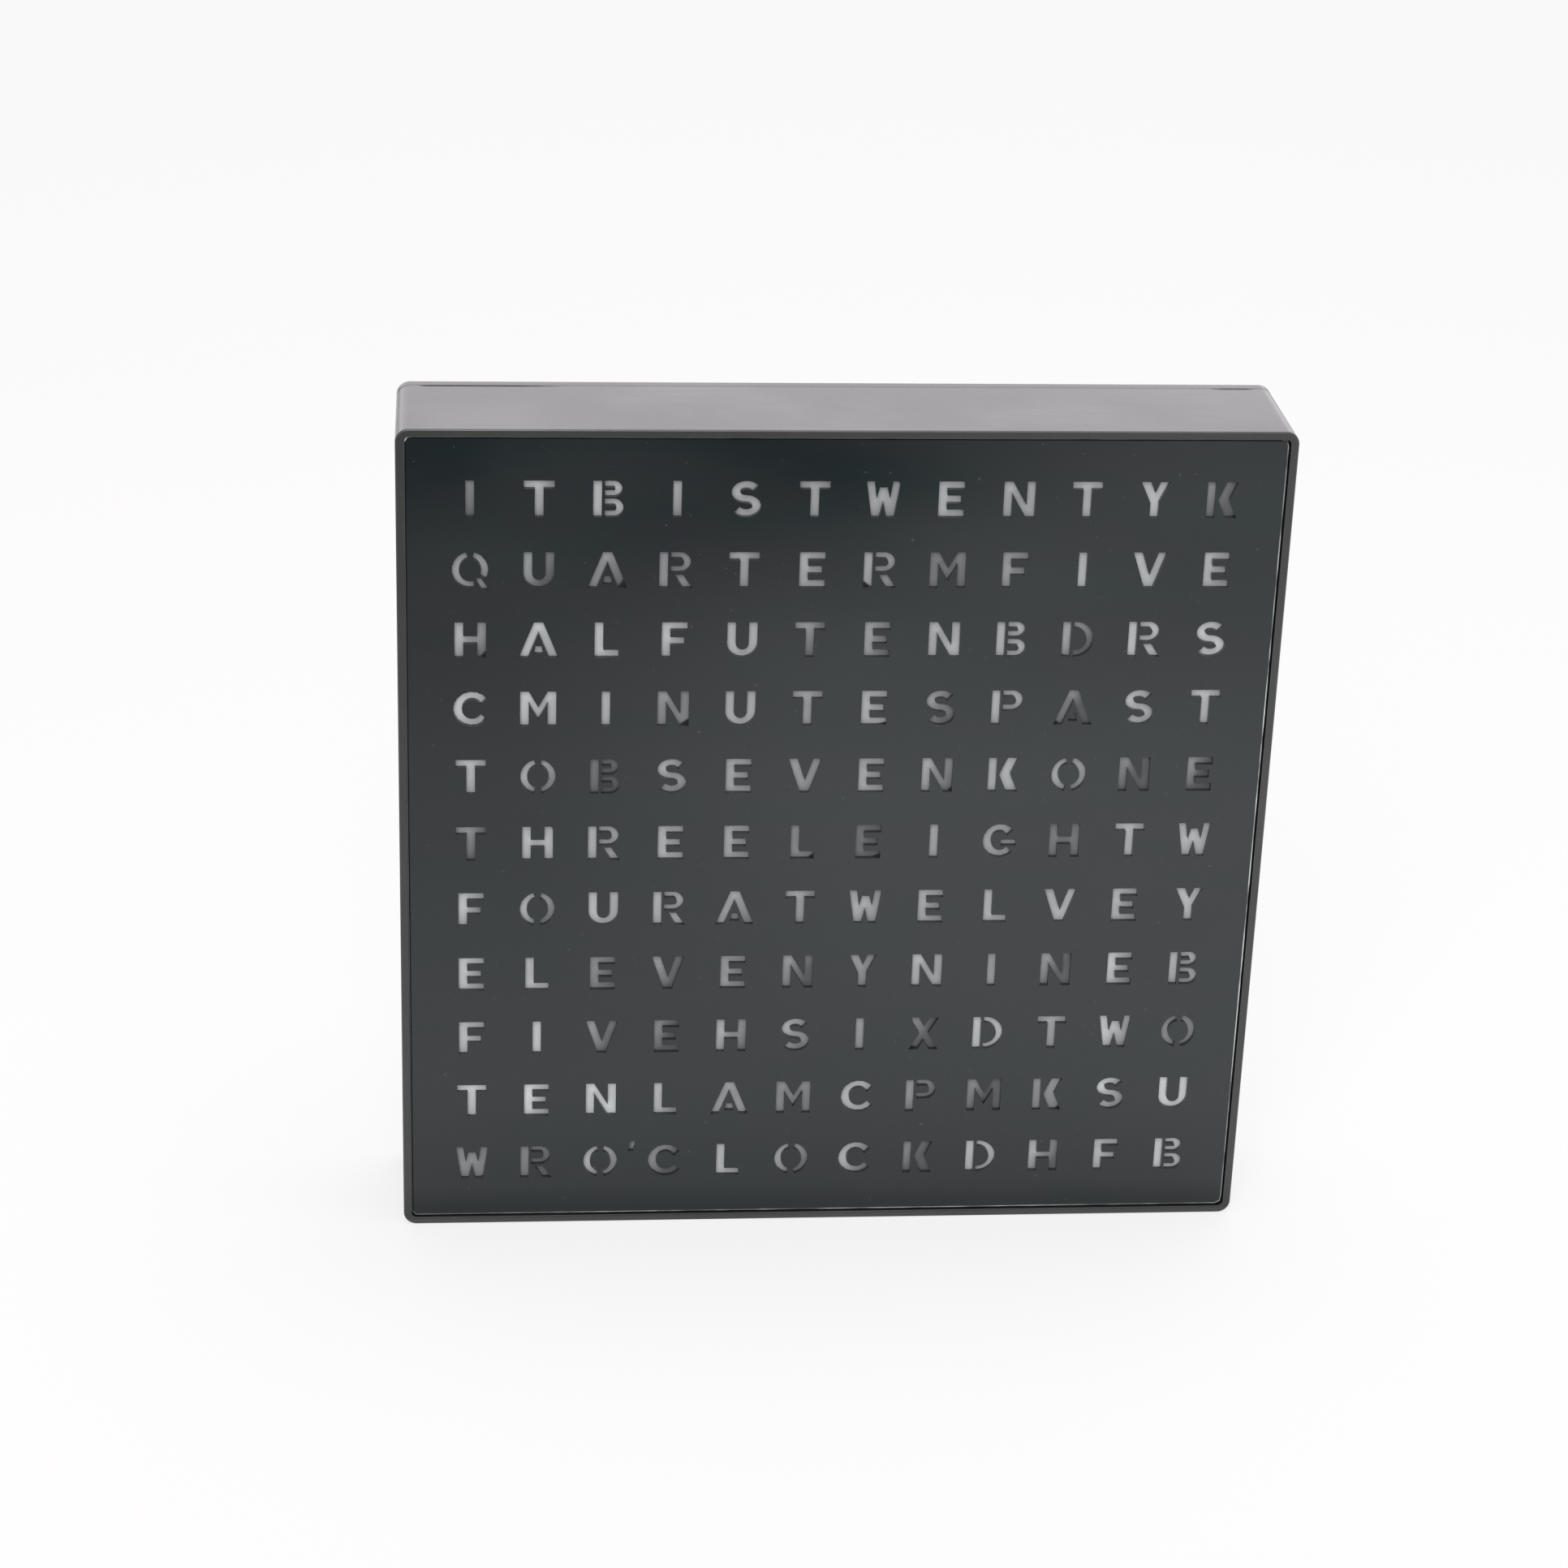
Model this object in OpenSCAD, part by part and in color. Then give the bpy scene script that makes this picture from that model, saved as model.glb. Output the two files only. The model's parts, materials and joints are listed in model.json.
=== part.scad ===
// Square word clock that stands on its own lower edge or hangs on two wall screws.
// X runs to the right, Y from the front to the back and Z up. The origin is under the middle of the case.
// A plate, a film, a grid of light cells and an LED board are stacked behind the front rim.
// The control board hangs on the rear cover, with its two setting buttons and its power jack.

/* [Letter grid] */
// Letters in a row
columns = 12; // [8:1:16]
// Rows of letters
rows = 11; // [8:1:14]
// Distance between letter centres along a row
pitch_x = 15; // [12:0.1:20]
// Distance between letter centres from row to row
pitch_z = 16.5; // [12:0.1:20]

/* [Case] */
// Thickness of the side walls
wall = 2.4; // [2:0.1:3.2]
// Width of the rim that shows round the letter panel
rim_w = 1.8; // [1.2:0.1:2]
// Outer corner radius
corner_r = 3; // [2.6:0.1:6]
// Chamfer along the outer front and back edges
edge_chamfer = 0.25; // [0.2:0.05:0.8]
// Chamfer on each side of the seam between case and rear cover
seam_chamfer = 0.25; // [0.15:0.05:0.5]
// Thickness of the ledge that carries the letter panel
ledge_t = 2; // [1.4:0.1:3]
// Spare room between the light cells and the bosses, left and right
margin_x = 0.9; // [0.1:0.05:4]
// Spare room between the light cells and the bosses, top and bottom
margin_z = 0.15; // [0.1:0.05:4]
// Depth that a boss is rooted in the wall
boss_sink = 0.8; // [0.5:0.1:1.2]
// Clearance of the light cells, film and LED board round what they fit
fit_gap = 0.3; // [0.2:0.05:0.5]

/* [Front stack] */
// Depth of the letter panel behind the rim
panel_recess = 0.6; // [0.1:0.05:0.8]
// Thickness of the letter panel
panel_t = 1.2; // [1:0.1:3]
// Gap between the letter panel and the rim
panel_gap = 0.2; // [0.1:0.05:0.5]
// Chamfer along the edges of the letter panel
panel_chamfer = 0.3; // [0.1:0.05:0.45]
// Gap between the letter panel and the film
film_gap = 0.1; // [0.1:0.05:0.8]
// Thickness of the diffuser film
film_t = 0.5; // [0.2:0.05:1]
// Depth of the light cells
baffle_d = 10.65; // [6:0.05:16]
// Thickness of the walls between the light cells
cell_wall = 1; // [0.8:0.1:1.6]
// Diameter of the pegs that locate the light cells on the LED board
peg_d = 2; // [1.6:0.1:3]
// Wall of the columns that carry the pegs
peg_wall = 0.8; // [0.6:0.1:1.2]
// Number of light cells between a peg and the side of the grid
peg_count_x = 2; // [1:1:3]
// Number of light cells between a peg and the top or bottom of the grid
peg_count_z = 3; // [1:1:3]

/* [LED board] */
// Thickness of both circuit boards
board_t = 1.6; // [1.2:0.1:2]
// Width of an LED
led_w = 3.5; // [2:0.1:5]
// Height of an LED across the row
led_l = 2.8; // [2:0.1:5]
// How far an LED stands off its board
led_h = 1.9; // [1:0.1:3]
// Diameter of the round window in an LED
led_window_d = 2.2; // [1.2:0.1:2.6]
// Depth of the round window in an LED
led_window_depth = 0.3; // [0.1:0.05:0.6]
// Diameter of the bosses that carry the LED board
led_boss_d = 4.4; // [4:0.1:6]
// Distance between the two LED board bosses on a side
led_boss_spread = 100; // [60:1:120]
// Number of LED driver chips
driver_count = 6; // [2:1:7]
// Distance from one driver chip to the next
driver_pitch = 22; // [16:0.5:24]
// Height of the driver chips above the middle of the face
driver_up = 26; // [10:1:60]
// Distance of the resistor column from the middle of the face
resistor_x = 74; // [60:1:80]
// Distance from one resistor to the next
resistor_pitch = 6; // [4:0.5:8]
// Length of a resistor
resistor_l = 3.2; // [1.6:0.1:4]
// Width of a resistor
resistor_w = 1.6; // [0.8:0.1:2]
// Thickness of a resistor
resistor_h = 0.6; // [0.4:0.05:1]

/* [Chips] */
// Width of a driver chip's body
driver_w = 3.9; // [3:0.1:8]
// Length of a driver chip's body
driver_l = 9.9; // [6:0.1:16]
// Leads on a long side of a driver chip
driver_leads = 8; // [4:1:8]
// Lead pitch of a driver chip
driver_lead_pitch = 1.2; // [0.8:0.05:1.25]
// Side of the microcontroller's square body
mcu_w = 7; // [5:0.1:12]
// Leads on a side of the microcontroller
mcu_leads = 8; // [4:1:8]
// Lead pitch of the microcontroller
mcu_lead_pitch = 0.8; // [0.7:0.05:0.85]
// Height of a chip above its board
chip_h = 1.7; // [1.2:0.05:2.4]
// Gap under a chip's body
chip_stand = 0.12; // [0.05:0.01:0.3]
// Width of a chip's lead
lead_w = 0.4; // [0.3:0.05:0.5]
// Thickness of a chip's lead
lead_t = 0.2; // [0.1:0.05:0.25]
// Reach of a lead before it bends down
lead_reach = 0.55; // [0.4:0.05:0.8]
// Length of a lead's foot on the board
lead_foot = 0.6; // [0.4:0.05:0.9]
// Length of a lead inside the chip's body
lead_root = 0.3; // [0.1:0.05:0.6]
// Diameter of the dimple that marks a chip's first lead
dimple_d = 1; // [0.6:0.1:1.4]
// Depth of that dimple
dimple_depth = 0.15; // [0.05:0.05:0.3]

/* [Control board] */
// Height of the control board's middle above the underside of the clock
control_up = 45; // [36:1:80]
// Height of the control board
control_h = 36; // [30:1:60]
// Board beside the outer button and the jack
control_margin = 18; // [15:0.5:26]
// Distance between the two setting buttons
button_spread = 16; // [12:0.5:24]
// Distance from the minute button to the jack
jack_spread = 23; // [18:0.5:34]
// Free room between the two circuit boards
board_room = 5.2; // [4.6:0.1:12]
// Diameter of the posts that carry the control board
post_d = 5.5; // [4.5:0.1:7]
// Distance of the posts from the control board's edges
post_inset = 4.5; // [4:0.1:6]
// Corner radius of both circuit boards
board_r = 1.5; // [0.5:0.1:3]
// Distance of the microcontroller's middle to the right of the minute button
mcu_aside = 11; // [9:0.5:13]
// Distance of the microcontroller's middle from the board's top edge
mcu_inset = 10; // [6:0.5:12]
// Distance of the crystal's middle to the right of the minute button
crystal_aside = 9.5; // [8:0.5:13]
// Distance of the crystal's middle from the board's bottom edge
crystal_inset = 10; // [3:0.5:12]
// Diameter of the crystal's can
crystal_d = 2; // [1.5:0.1:3]
// Length of the crystal's can
crystal_l = 6; // [4:0.1:8]
// Distance between the crystal's wires
crystal_wire_pitch = 0.7; // [0.5:0.05:1]
// Diameter of the crystal's wires
crystal_wire_d = 0.3; // [0.2:0.05:0.4]
// Reach of the crystal's wires past its can
crystal_wire_l = 1.6; // [1:0.1:3]
// Distance of the filter capacitor's middle from the board's right edge
capacitor_inset = 7.5; // [5:0.5:9]
// Diameter of the capacitor's can
capacitor_d = 6.3; // [4:0.1:7]
// Height of the capacitor's can
capacitor_h = 4.6; // [3:0.1:6]
// Height of the capacitor's square base
capacitor_base_h = 0.9; // [0.5:0.1:1.5]
// Base that shows round the capacitor's can
capacitor_rim = 0.15; // [0.1:0.05:0.4]
// Depth of the groove rolled round the can
capacitor_groove = 0.3; // [0.1:0.05:0.5]

/* [Setting buttons] */
// Diameter of a button
button_d = 7; // [5:0.1:8]
// How far a button stands out of the control recess
button_proud = 0.9; // [0.4:0.1:1]
// Gap round a button in its hole
button_gap = 0.25; // [0.15:0.05:0.4]
// Chamfer round the button's face
button_chamfer = 0.5; // [0.2:0.05:0.8]
// Width of the flange that keeps a button in, round its cap
button_flange_w = 1.2; // [0.6:0.1:2]
// Thickness of the flange
button_flange_t = 1.2; // [0.8:0.1:2]
// Play between the flange and the rear cover
button_play = 0.15; // [0.1:0.05:0.3]
// Diameter of the button's stem
button_stem_d = 3.8; // [2:0.1:4.4]
// Length of the stem
button_stem = 2.2; // [1:0.1:4]

/* [Button switches] */
// Side of the switch's square base
switch_w = 6; // [5.8:0.1:8]
// Height of the switch without its plunger
switch_h = 3.5; // [3:0.1:5]
// Thickness of the switch's sheet metal frame
frame_t = 0.3; // [0.2:0.05:0.4]
// Width of the frame's two side tabs
tab_w = 3; // [2:0.1:4]
// Length of the frame's two side tabs
tab_l = 1.6; // [1:0.1:2.2]
// Thickness of the switch's floor
switch_floor = 1; // [0.6:0.1:1.3]
// Least wall round the switch's chamber
chamber_wall = 0.4; // [0.2:0.05:0.6]
// Diameter of the plunger
plunger_d = 3.2; // [2.4:0.1:3.6]
// How far the plunger stands out of the switch
plunger_out = 1.5; // [0.8:0.1:3]
// Gap between the plunger's foot and the chamber
foot_gap = 0.25; // [0.15:0.05:0.3]
// Clearance between plunger, frame and dome
plunger_gap = 0.1; // [0.05:0.01:0.15]
// Gap between the spring dome's edge and the chamber
dome_gap = 0.15; // [0.1:0.05:0.25]
// Height of the spring dome
dome_h = 0.7; // [0.55:0.05:0.9]
// Thickness of the spring dome
dome_t = 0.12; // [0.08:0.01:0.2]

/* [Power jack] */
// Diameter of the socket
jack_socket_d = 6; // [5.6:0.1:6.4]
// Wall of the collar that fills the hole in the rear cover
jack_wall = 1; // [0.8:0.1:1.6]
// Gap round the collar
jack_gap = 0.2; // [0.1:0.05:0.4]
// Shoulder of the square body round the collar
jack_shoulder = 0.5; // [0.3:0.1:1.5]
// Floor under the socket
jack_floor = 1.2; // [0.8:0.1:2]
// Diameter of the centre pin
jack_pin_d = 2; // [1.6:0.1:2.5]
// Depth of the centre pin's tip below the socket's mouth
jack_pin_depth = 1.2; // [0.5:0.1:3]
// Width of the sleeve spring
jack_spring_w = 2; // [1.4:0.1:3]
// Thickness of the sleeve spring
jack_spring_t = 0.3; // [0.2:0.05:0.5]
// Height of the sleeve spring
jack_spring_h = 6.4; // [4:0.1:7.5]
// Length of the sleeve spring's foot
jack_spring_foot = 2.6; // [2:0.1:4]
// Gap of the sleeve spring to the socket and its slot
jack_spring_gap = 0.12; // [0.1:0.01:0.2]

/* [Link harness] */
// Wires in the harness
wires = 6; // [3:1:6]
// Diameter of a wire
wire_d = 1.2; // [0.8:0.1:1.6]
// Distance from wire to wire
wire_pitch = 2; // [1.7:0.1:2.5]
// Straight length of wire out of each plug
wire_lead = 4; // [2:0.5:10]
// Length of a socket along the wires
socket_l = 6; // [4:0.5:9]
// Height of a socket above its board
socket_h = 4; // [3.2:0.1:4.5]
// Wall of a socket
socket_wall = 0.8; // [0.5:0.1:1]
// Distance of the control socket from the board's edge
socket_inset = 1.5; // [0.5:0.1:4]
// Clearance of a plug in its socket
plug_gap = 0.15; // [0.1:0.05:0.25]
// How far a plug stands out of its socket
plug_out = 1.2; // [0.6:0.1:2]

/* [Rear cover] */
// Thickness of the rear cover
cover_t = 3; // [2.4:0.1:4]
// Depth of the recess round the buttons and the jack
recess_d = 1.2; // [1:0.1:1.3]
// Height of that recess
recess_h = 20; // [16:0.5:30]
// Recess beside the outer button and the jack
recess_margin = 11; // [7:0.5:16]
// Corner radius of the recess
recess_r = 4; // [1:0.5:6]
// Thickness of the lips that locate the cover inside the walls
lip_t = 1.5; // [1:0.1:2.5]
// Height of the lips
lip_h = 4; // [2:0.1:6]
// Gap between the lips and the walls
lip_gap = 0.2; // [0.1:0.05:0.4]
// Distance from a lip's end to the nearest corner boss
lip_end = 18; // [8:1:40]
// Thickness of the stiffening ribs inside the cover
rib_t = 1.2; // [0.8:0.1:2]
// Height of the stiffening ribs
rib_h = 2.4; // [1:0.1:4]
// Distance from one rib to the next
rib_pitch = 28; // [20:1:40]
// Bare cover above the control board and beside the walls, before the ribs begin
rib_clear = 8; // [6:0.5:14]
// Distance between the two keyholes
keyhole_spread = 120; // [80:1:140]
// Distance of the keyholes' entries from the top of the clock
keyhole_drop = 42; // [34:1:60]
// Diameter of a keyhole's entry
keyhole_d = 10; // [8:0.1:12]
// Width of a keyhole's slot
keyhole_slot_w = 5; // [4.4:0.1:5.4]
// Rise from the entry to the slot's end
keyhole_rise = 10; // [8:0.5:14]
// Diameter of the corner bosses that take the cover screws
corner_boss_d = 6.4; // [5.5:0.1:7]
// Depth of the cover screws' heads below the back
head_sink = 0.2; // [0.1:0.05:0.4]

/* [Screws] */
// Head diameter of the cover screws
cover_head_d = 5; // [4.5:0.1:6]
// Head height of the cover screws
cover_head_h = 1.4; // [1:0.1:1.4]
// Shank diameter of the cover screws
cover_shank_d = 2.4; // [2:0.1:3]
// Shank length of the cover screws
cover_shank_l = 10; // [6:0.5:14]
// Head diameter of the board screws
board_head_d = 3.6; // [3:0.1:4]
// Head height of the board screws
board_head_h = 1.3; // [0.8:0.1:1.6]
// Shank diameter of the board screws
board_shank_d = 1.7; // [1.4:0.1:2]
// Shank length of the board screws
board_shank_l = 6; // [4:0.5:7]
// Gap round a shank in its hole
shank_gap = 0.1; // [0.05:0.01:0.2]
// Gap round a screw head in its counterbore
head_gap = 0.4; // [0.2:0.05:0.6]
// Room past a shank's end in its hole
shank_end = 0.8; // [0.5:0.1:2]

/* [Hidden] */
$fn = 48;
// Cuts run this far past the faces that they open
past = 1;

// Sizes across the face, from the grid of cells outwards
field_w = columns * pitch_x + cell_wall;
field_h = rows * pitch_z + cell_wall;
inner_w = field_w + 2 * (fit_gap + margin_x + led_boss_d);
inner_h = field_h + 2 * (fit_gap + margin_z + led_boss_d);
case_w = inner_w + 2 * wall;
case_h = inner_h + 2 * wall;
least_r = 0.5;
inner_r = max(corner_r - wall, least_r);
seat_w = case_w - 2 * rim_w;
seat_h = case_h - 2 * rim_w;
seat_r = max(corner_r - rim_w, least_r);
panel_w = seat_w - 2 * panel_gap;
panel_h = seat_h - 2 * panel_gap;
panel_r = max(seat_r - panel_gap, panel_chamfer + least_r);
led_board_w = inner_w - 2 * fit_gap;
led_board_h = inner_h - 2 * fit_gap;

// Places along the depth, from the front to the back
standoff = switch_h + plunger_out + button_stem + button_flange_t + button_play;
front_d = panel_recess + panel_t + film_gap + film_t + baffle_d;
case_d = front_d + 2 * board_t + board_room + standoff + cover_t;
y_front = -case_d / 2;
y_panel = y_front + panel_recess;
y_ledge = y_panel + panel_t;
y_film = y_ledge + film_gap;
y_baffle = y_film + film_t;
y_led_board = y_baffle + baffle_d;
y_led_back = y_led_board + board_t;
y_control = y_led_back + board_room;
y_control_back = y_control + board_t;
y_cover = y_control_back + standoff;
y_back = y_cover + cover_t;
y_recess = y_back - recess_d;
counterbore_depth = cover_head_h + head_sink;
y_screw_seat = y_back - counterbore_depth;

// Places on the face, from its middle
cell_at = [
    for (i = [0 : columns - 1], k = [0 : rows - 1])
        [(i - (columns - 1) / 2) * pitch_x, (k - (rows - 1) / 2) * pitch_z]
];
peg_at = corners((columns / 2 - peg_count_x) * pitch_x, (rows / 2 - peg_count_z) * pitch_z);
boss_x = inner_w / 2 - led_boss_d / 2 + boss_sink / 2;
boss_z = inner_h / 2 - led_boss_d / 2 + boss_sink / 2;
led_boss_at = concat(corners(boss_x, led_boss_spread / 2), corners(led_boss_spread / 2, boss_z));
corner_x = inner_w / 2 - corner_boss_d / 2 + boss_sink;
corner_z = inner_h / 2 - corner_boss_d / 2 + boss_sink;
corner_at = corners(corner_x, corner_z);
control_z = control_up - case_h / 2;
control_span = button_spread + jack_spread;
control_w = control_span + 2 * control_margin;
hour_x = -control_span / 2;
minute_x = hour_x + button_spread;
jack_x = control_span / 2;
post_at = corners(control_w / 2 - post_inset, control_h / 2 - post_inset);
mcu_at = [minute_x + mcu_aside, control_z + control_h / 2 - mcu_inset];
crystal_at = [minute_x + crystal_aside, control_z - control_h / 2 + crystal_inset];
capacitor_at = [control_w / 2 - capacitor_inset, control_z];
keyhole_z = case_h / 2 - keyhole_drop;
cover_hole_d = cover_shank_d + 2 * shank_gap;
board_hole_d = board_shank_d + 2 * shank_gap;

function corners(x, z) = [for (sx = [-1, 1], sz = [-1, 1]) [sx * x, sz * z]];

// A flat shape drawn as the face is seen, from its middle, made solid from y0 over a thickness t
module plate(y0, t) {
    translate([0, y0 + t, case_h / 2])
        rotate([90, 0, 0])
            linear_extrude(t)
                children();
}

// Copies of a shape at points on the face
module at(points) {
    for (p = points)
        translate(p)
            children();
}

module rounded(w, h, r) {
    square([w - 2 * r, h], center = true);
    square([w, h - 2 * r], center = true);
    at(corners(w / 2 - r, h / 2 - r))
        circle(r);
}

// A profile turned about an axis along Y through a point of the face; its second value is the depth y
module turned(p, profile) {
    translate([p[0], 0, case_h / 2 + p[1]])
        rotate([-90, 0, 0])
            rotate_extrude()
                polygon(profile);
}

// A slab with round corners whose front and back edges are chamfered all round
module chamfered_slab(w, h, r, y0, y1, front, back) {
    along_x = slab_profile(y0, y1, h, front, back);
    along_z = slab_profile(y0, y1, w, front, back);
    translate([0, 0, case_h / 2]) {
        rotate([90, 0, 90])
            linear_extrude(w - 2 * r, center = true)
                polygon(along_x);
        rotate([0, 0, 90])
            linear_extrude(h - 2 * r, center = true)
                polygon(along_z);
    }
    column = [[0, y0], [r - front, y0], [r, y0 + front], [r, y1 - back], [r - back, y1], [0, y1]];
    for (p = corners(w / 2 - r, h / 2 - r))
        turned(p, column);
}

function slab_profile(y0, y1, s, front, back) = [
    [y0, front - s / 2], [y0 + front, -s / 2], [y1 - back, -s / 2], [y1, back - s / 2],
    [y1, s / 2 - back], [y1 - back, s / 2], [y0 + front, s / 2], [y0, s / 2 - front]
];

// Case: a moulded square frame with its rim, panel ledge and screw bosses

module case_shell() {
    color("#202123")
        difference() {
            union() {
                case_walls();
                led_bosses();
                corner_bosses();
            }
            plate(y_led_board - board_shank_l + board_t - shank_end, board_shank_l + past)
                at(led_boss_at)
                    circle(d = board_hole_d);
            plate(y_screw_seat - cover_shank_l - shank_end, cover_shank_l + shank_end + past)
                at(corner_at)
                    circle(d = cover_hole_d);
        }
}

module case_walls() {
    difference() {
        chamfered_slab(case_w, case_h, corner_r, y_front, y_cover, edge_chamfer, seam_chamfer);
        plate(y_front - past, y_ledge - y_front + past)
            rounded(seat_w, seat_h, seat_r);
        plate(y_ledge - past, ledge_t + 2 * past)
            square([field_w + 2 * fit_gap, field_h + 2 * fit_gap], center = true);
        plate(y_ledge + ledge_t, y_cover - y_ledge - ledge_t + past)
            rounded(inner_w, inner_h, inner_r);
    }
}

module led_bosses() {
    plate(y_ledge + ledge_t / 2, y_led_board - y_ledge - ledge_t / 2)
        at(led_boss_at)
            circle(d = led_boss_d);
}

module corner_bosses() {
    plate(y_ledge + ledge_t / 2, y_cover - y_ledge - ledge_t / 2)
        at(corner_at)
            circle(d = corner_boss_d);
}

// Room that the front stack leaves for the corner bosses
module corner_boss_room() {
    at(corner_at)
        circle(d = corner_boss_d + 2 * fit_gap);
    for (p = corner_at)
        translate([p[0] + sign(p[0]) * corner_boss_d, p[1] + sign(p[1]) * corner_boss_d])
            square(2 * corner_boss_d, center = true);
}

// Front stack: panel, film, light cells and LED board

module letter_panel() {
    color("#2b2f30")
        chamfered_slab(panel_w, panel_h, panel_r, y_panel, y_ledge, panel_chamfer, panel_chamfer);
}

module diffuser_sheet() {
    color("#b9bbb9")
        plate(y_film, film_t)
            difference() {
                square([field_w, field_h], center = true);
                corner_boss_room();
            }
}

module light_baffle() {
    peg_room = board_t + shank_end;
    color("#e9e7e0") {
        plate(y_baffle, baffle_d)
            difference() {
                union() {
                    baffle_grid();
                    at(peg_at)
                        circle(d = peg_d + 2 * peg_wall);
                }
                corner_boss_room();
            }
        plate(y_led_board - past, peg_room + past)
            at(peg_at)
                circle(d = peg_d);
    }
}

module baffle_grid() {
    difference() {
        square([field_w, field_h], center = true);
        at(cell_at)
            square([pitch_x - cell_wall, pitch_z - cell_wall], center = true);
    }
}

module led_board() {
    color("#e6e8e6")
        plate(y_led_board, board_t)
            difference() {
                rounded(led_board_w, led_board_h, board_r);
                corner_boss_room();
                at(led_boss_at)
                    circle(d = board_hole_d);
                at(peg_at)
                    circle(d = peg_d + 2 * fit_gap);
            }
}

module word_leds() {
    color("#f3efdc")
        difference() {
            plate(y_led_board - led_h, led_h)
                at(cell_at)
                    square([led_w, led_l], center = true);
            plate(y_led_board - led_h - past, led_window_depth + past)
                at(cell_at)
                    circle(d = led_window_d);
        }
}

// Chips: a moulded body on bent leads, standing on a board whose face is at y

module chip(p, y, w, l, sides, leads, pitch) {
    lead_up = chip_h / 2 + lead_t / 2;
    profile = [
        [-lead_root, lead_up], [lead_reach, lead_up], [lead_reach, lead_t], [lead_reach + lead_foot, lead_t],
        [lead_reach + lead_foot, 0], [lead_reach - lead_t, 0], [lead_reach - lead_t, lead_up - lead_t],
        [-lead_root, lead_up - lead_t]
    ];
    translate([p[0], y, case_h / 2 + p[1]]) {
        difference() {
            translate([-w / 2, chip_stand, -l / 2])
                cube([w, chip_h - chip_stand, l]);
            translate([dimple_d - w / 2, chip_h + past, l / 2 - dimple_d])
                rotate([90, 0, 0])
                    cylinder(d = dimple_d, h = dimple_depth + past);
        }
        for (turn = sides, i = [0 : leads - 1])
            rotate([0, turn, 0])
                translate([w / 2, 0, (i - (leads - 1) / 2) * pitch])
                    linear_extrude(lead_w, center = true)
                        polygon(profile);
    }
}

module driver_chips() {
    color("#26272a")
        for (i = [0 : driver_count - 1])
            chip([(i - (driver_count - 1) / 2) * driver_pitch, driver_up], y_led_back,
                driver_w, driver_l, [0, 180], driver_leads, driver_lead_pitch);
}

module row_resistors() {
    color("#3a3532")
        plate(y_led_back, resistor_h)
            for (k = [0 : rows - 1])
                translate([resistor_x, (k - (rows - 1) / 2) * resistor_pitch])
                    square([resistor_l, resistor_w], center = true);
}

module microcontroller() {
    color("#26272a")
        chip(mcu_at, y_control_back,
            mcu_w, mcu_w, [0, 90, 180, 270], mcu_leads, mcu_lead_pitch);
}

// Control board and what stands on it

module control_board() {
    color("#1f6b45")
        plate(y_control, board_t)
            translate([0, control_z])
                difference() {
                    rounded(control_w, control_h, board_r);
                    at(post_at)
                        circle(d = board_hole_d);
                }
}

module clock_crystal() {
    axis_up = crystal_d / 2 + chip_stand;
    color("#c9ccd0")
        translate([crystal_at[0], y_control_back, case_h / 2 + crystal_at[1]]) {
            translate([-crystal_l / 2, axis_up, 0])
                rotate([0, 90, 0])
                    cylinder(d = crystal_d, h = crystal_l);
            for (side = [-1, 1])
                translate([crystal_l / 2, axis_up, side * crystal_wire_pitch / 2])
                    crystal_wire(axis_up, crystal_d / 2);
        }
}

// A wire that starts inside the can, leaves it and turns down to the board
module crystal_wire(drop, root) {
    translate([-root, 0, 0])
        rotate([0, 90, 0])
            cylinder(d = crystal_wire_d, h = root + crystal_wire_l);
    translate([crystal_wire_l, 0, 0])
        sphere(d = crystal_wire_d);
    translate([crystal_wire_l, -drop, 0])
        rotate([-90, 0, 0])
            cylinder(d = crystal_wire_d, h = drop);
}

module filter_capacitor() {
    r = capacitor_d / 2;
    y0 = y_control_back + capacitor_base_h;
    groove_y = y0 + 3 * capacitor_groove;
    base_w = capacitor_d + 2 * capacitor_rim;
    color("#b7babd") {
        plate(y_control_back, capacitor_base_h)
            translate(capacitor_at)
                square(base_w, center = true);
        turned(capacitor_at, [
            [0, y0 - capacitor_base_h / 2], [r, y0 - capacitor_base_h / 2], [r, groove_y - capacitor_groove],
            [r - capacitor_groove, groove_y], [r, groove_y + capacitor_groove],
            [r, y0 + capacitor_h - capacitor_groove], [r - capacitor_groove, y0 + capacitor_h],
            [0, y0 + capacitor_h]
        ]);
    }
}

// Link harness: two side-entry sockets and the wires that step from one board up to the other

socket_w = wires * wire_pitch + 2 * socket_wall;
wire_up = socket_h / 2;
wire_bend = (board_room + board_t) / 2;
control_socket_x = socket_inset - control_w / 2;
led_socket_x = control_socket_x - 2 * plug_out - 2 * wire_lead - 2 * wire_bend;

// A socket whose mouth is at x and faces along the given direction
module socket(x, y, facing) {
    translate([x, y, case_h / 2 + control_z])
        difference() {
            translate([facing > 0 ? -socket_l : 0, 0, -socket_w / 2])
                cube([socket_l, socket_h, socket_w]);
            socket_space(facing, 0, past);
        }
}

// The space inside a socket, made smaller by a gap and longer at its mouth
module socket_space(facing, gap, longer) {
    deep = socket_l - socket_wall - gap;
    translate([facing > 0 ? -deep : -longer, socket_wall + gap, gap + socket_wall - socket_w / 2])
        cube([deep + longer, socket_h - 2 * (socket_wall + gap), socket_w - 2 * (socket_wall + gap)]);
}

module led_board_socket() {
    color("#e8e4d8")
        socket(led_socket_x, y_led_back, 1);
}

module control_socket() {
    color("#e8e4d8")
        socket(control_socket_x, y_control_back, -1);
}

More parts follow.
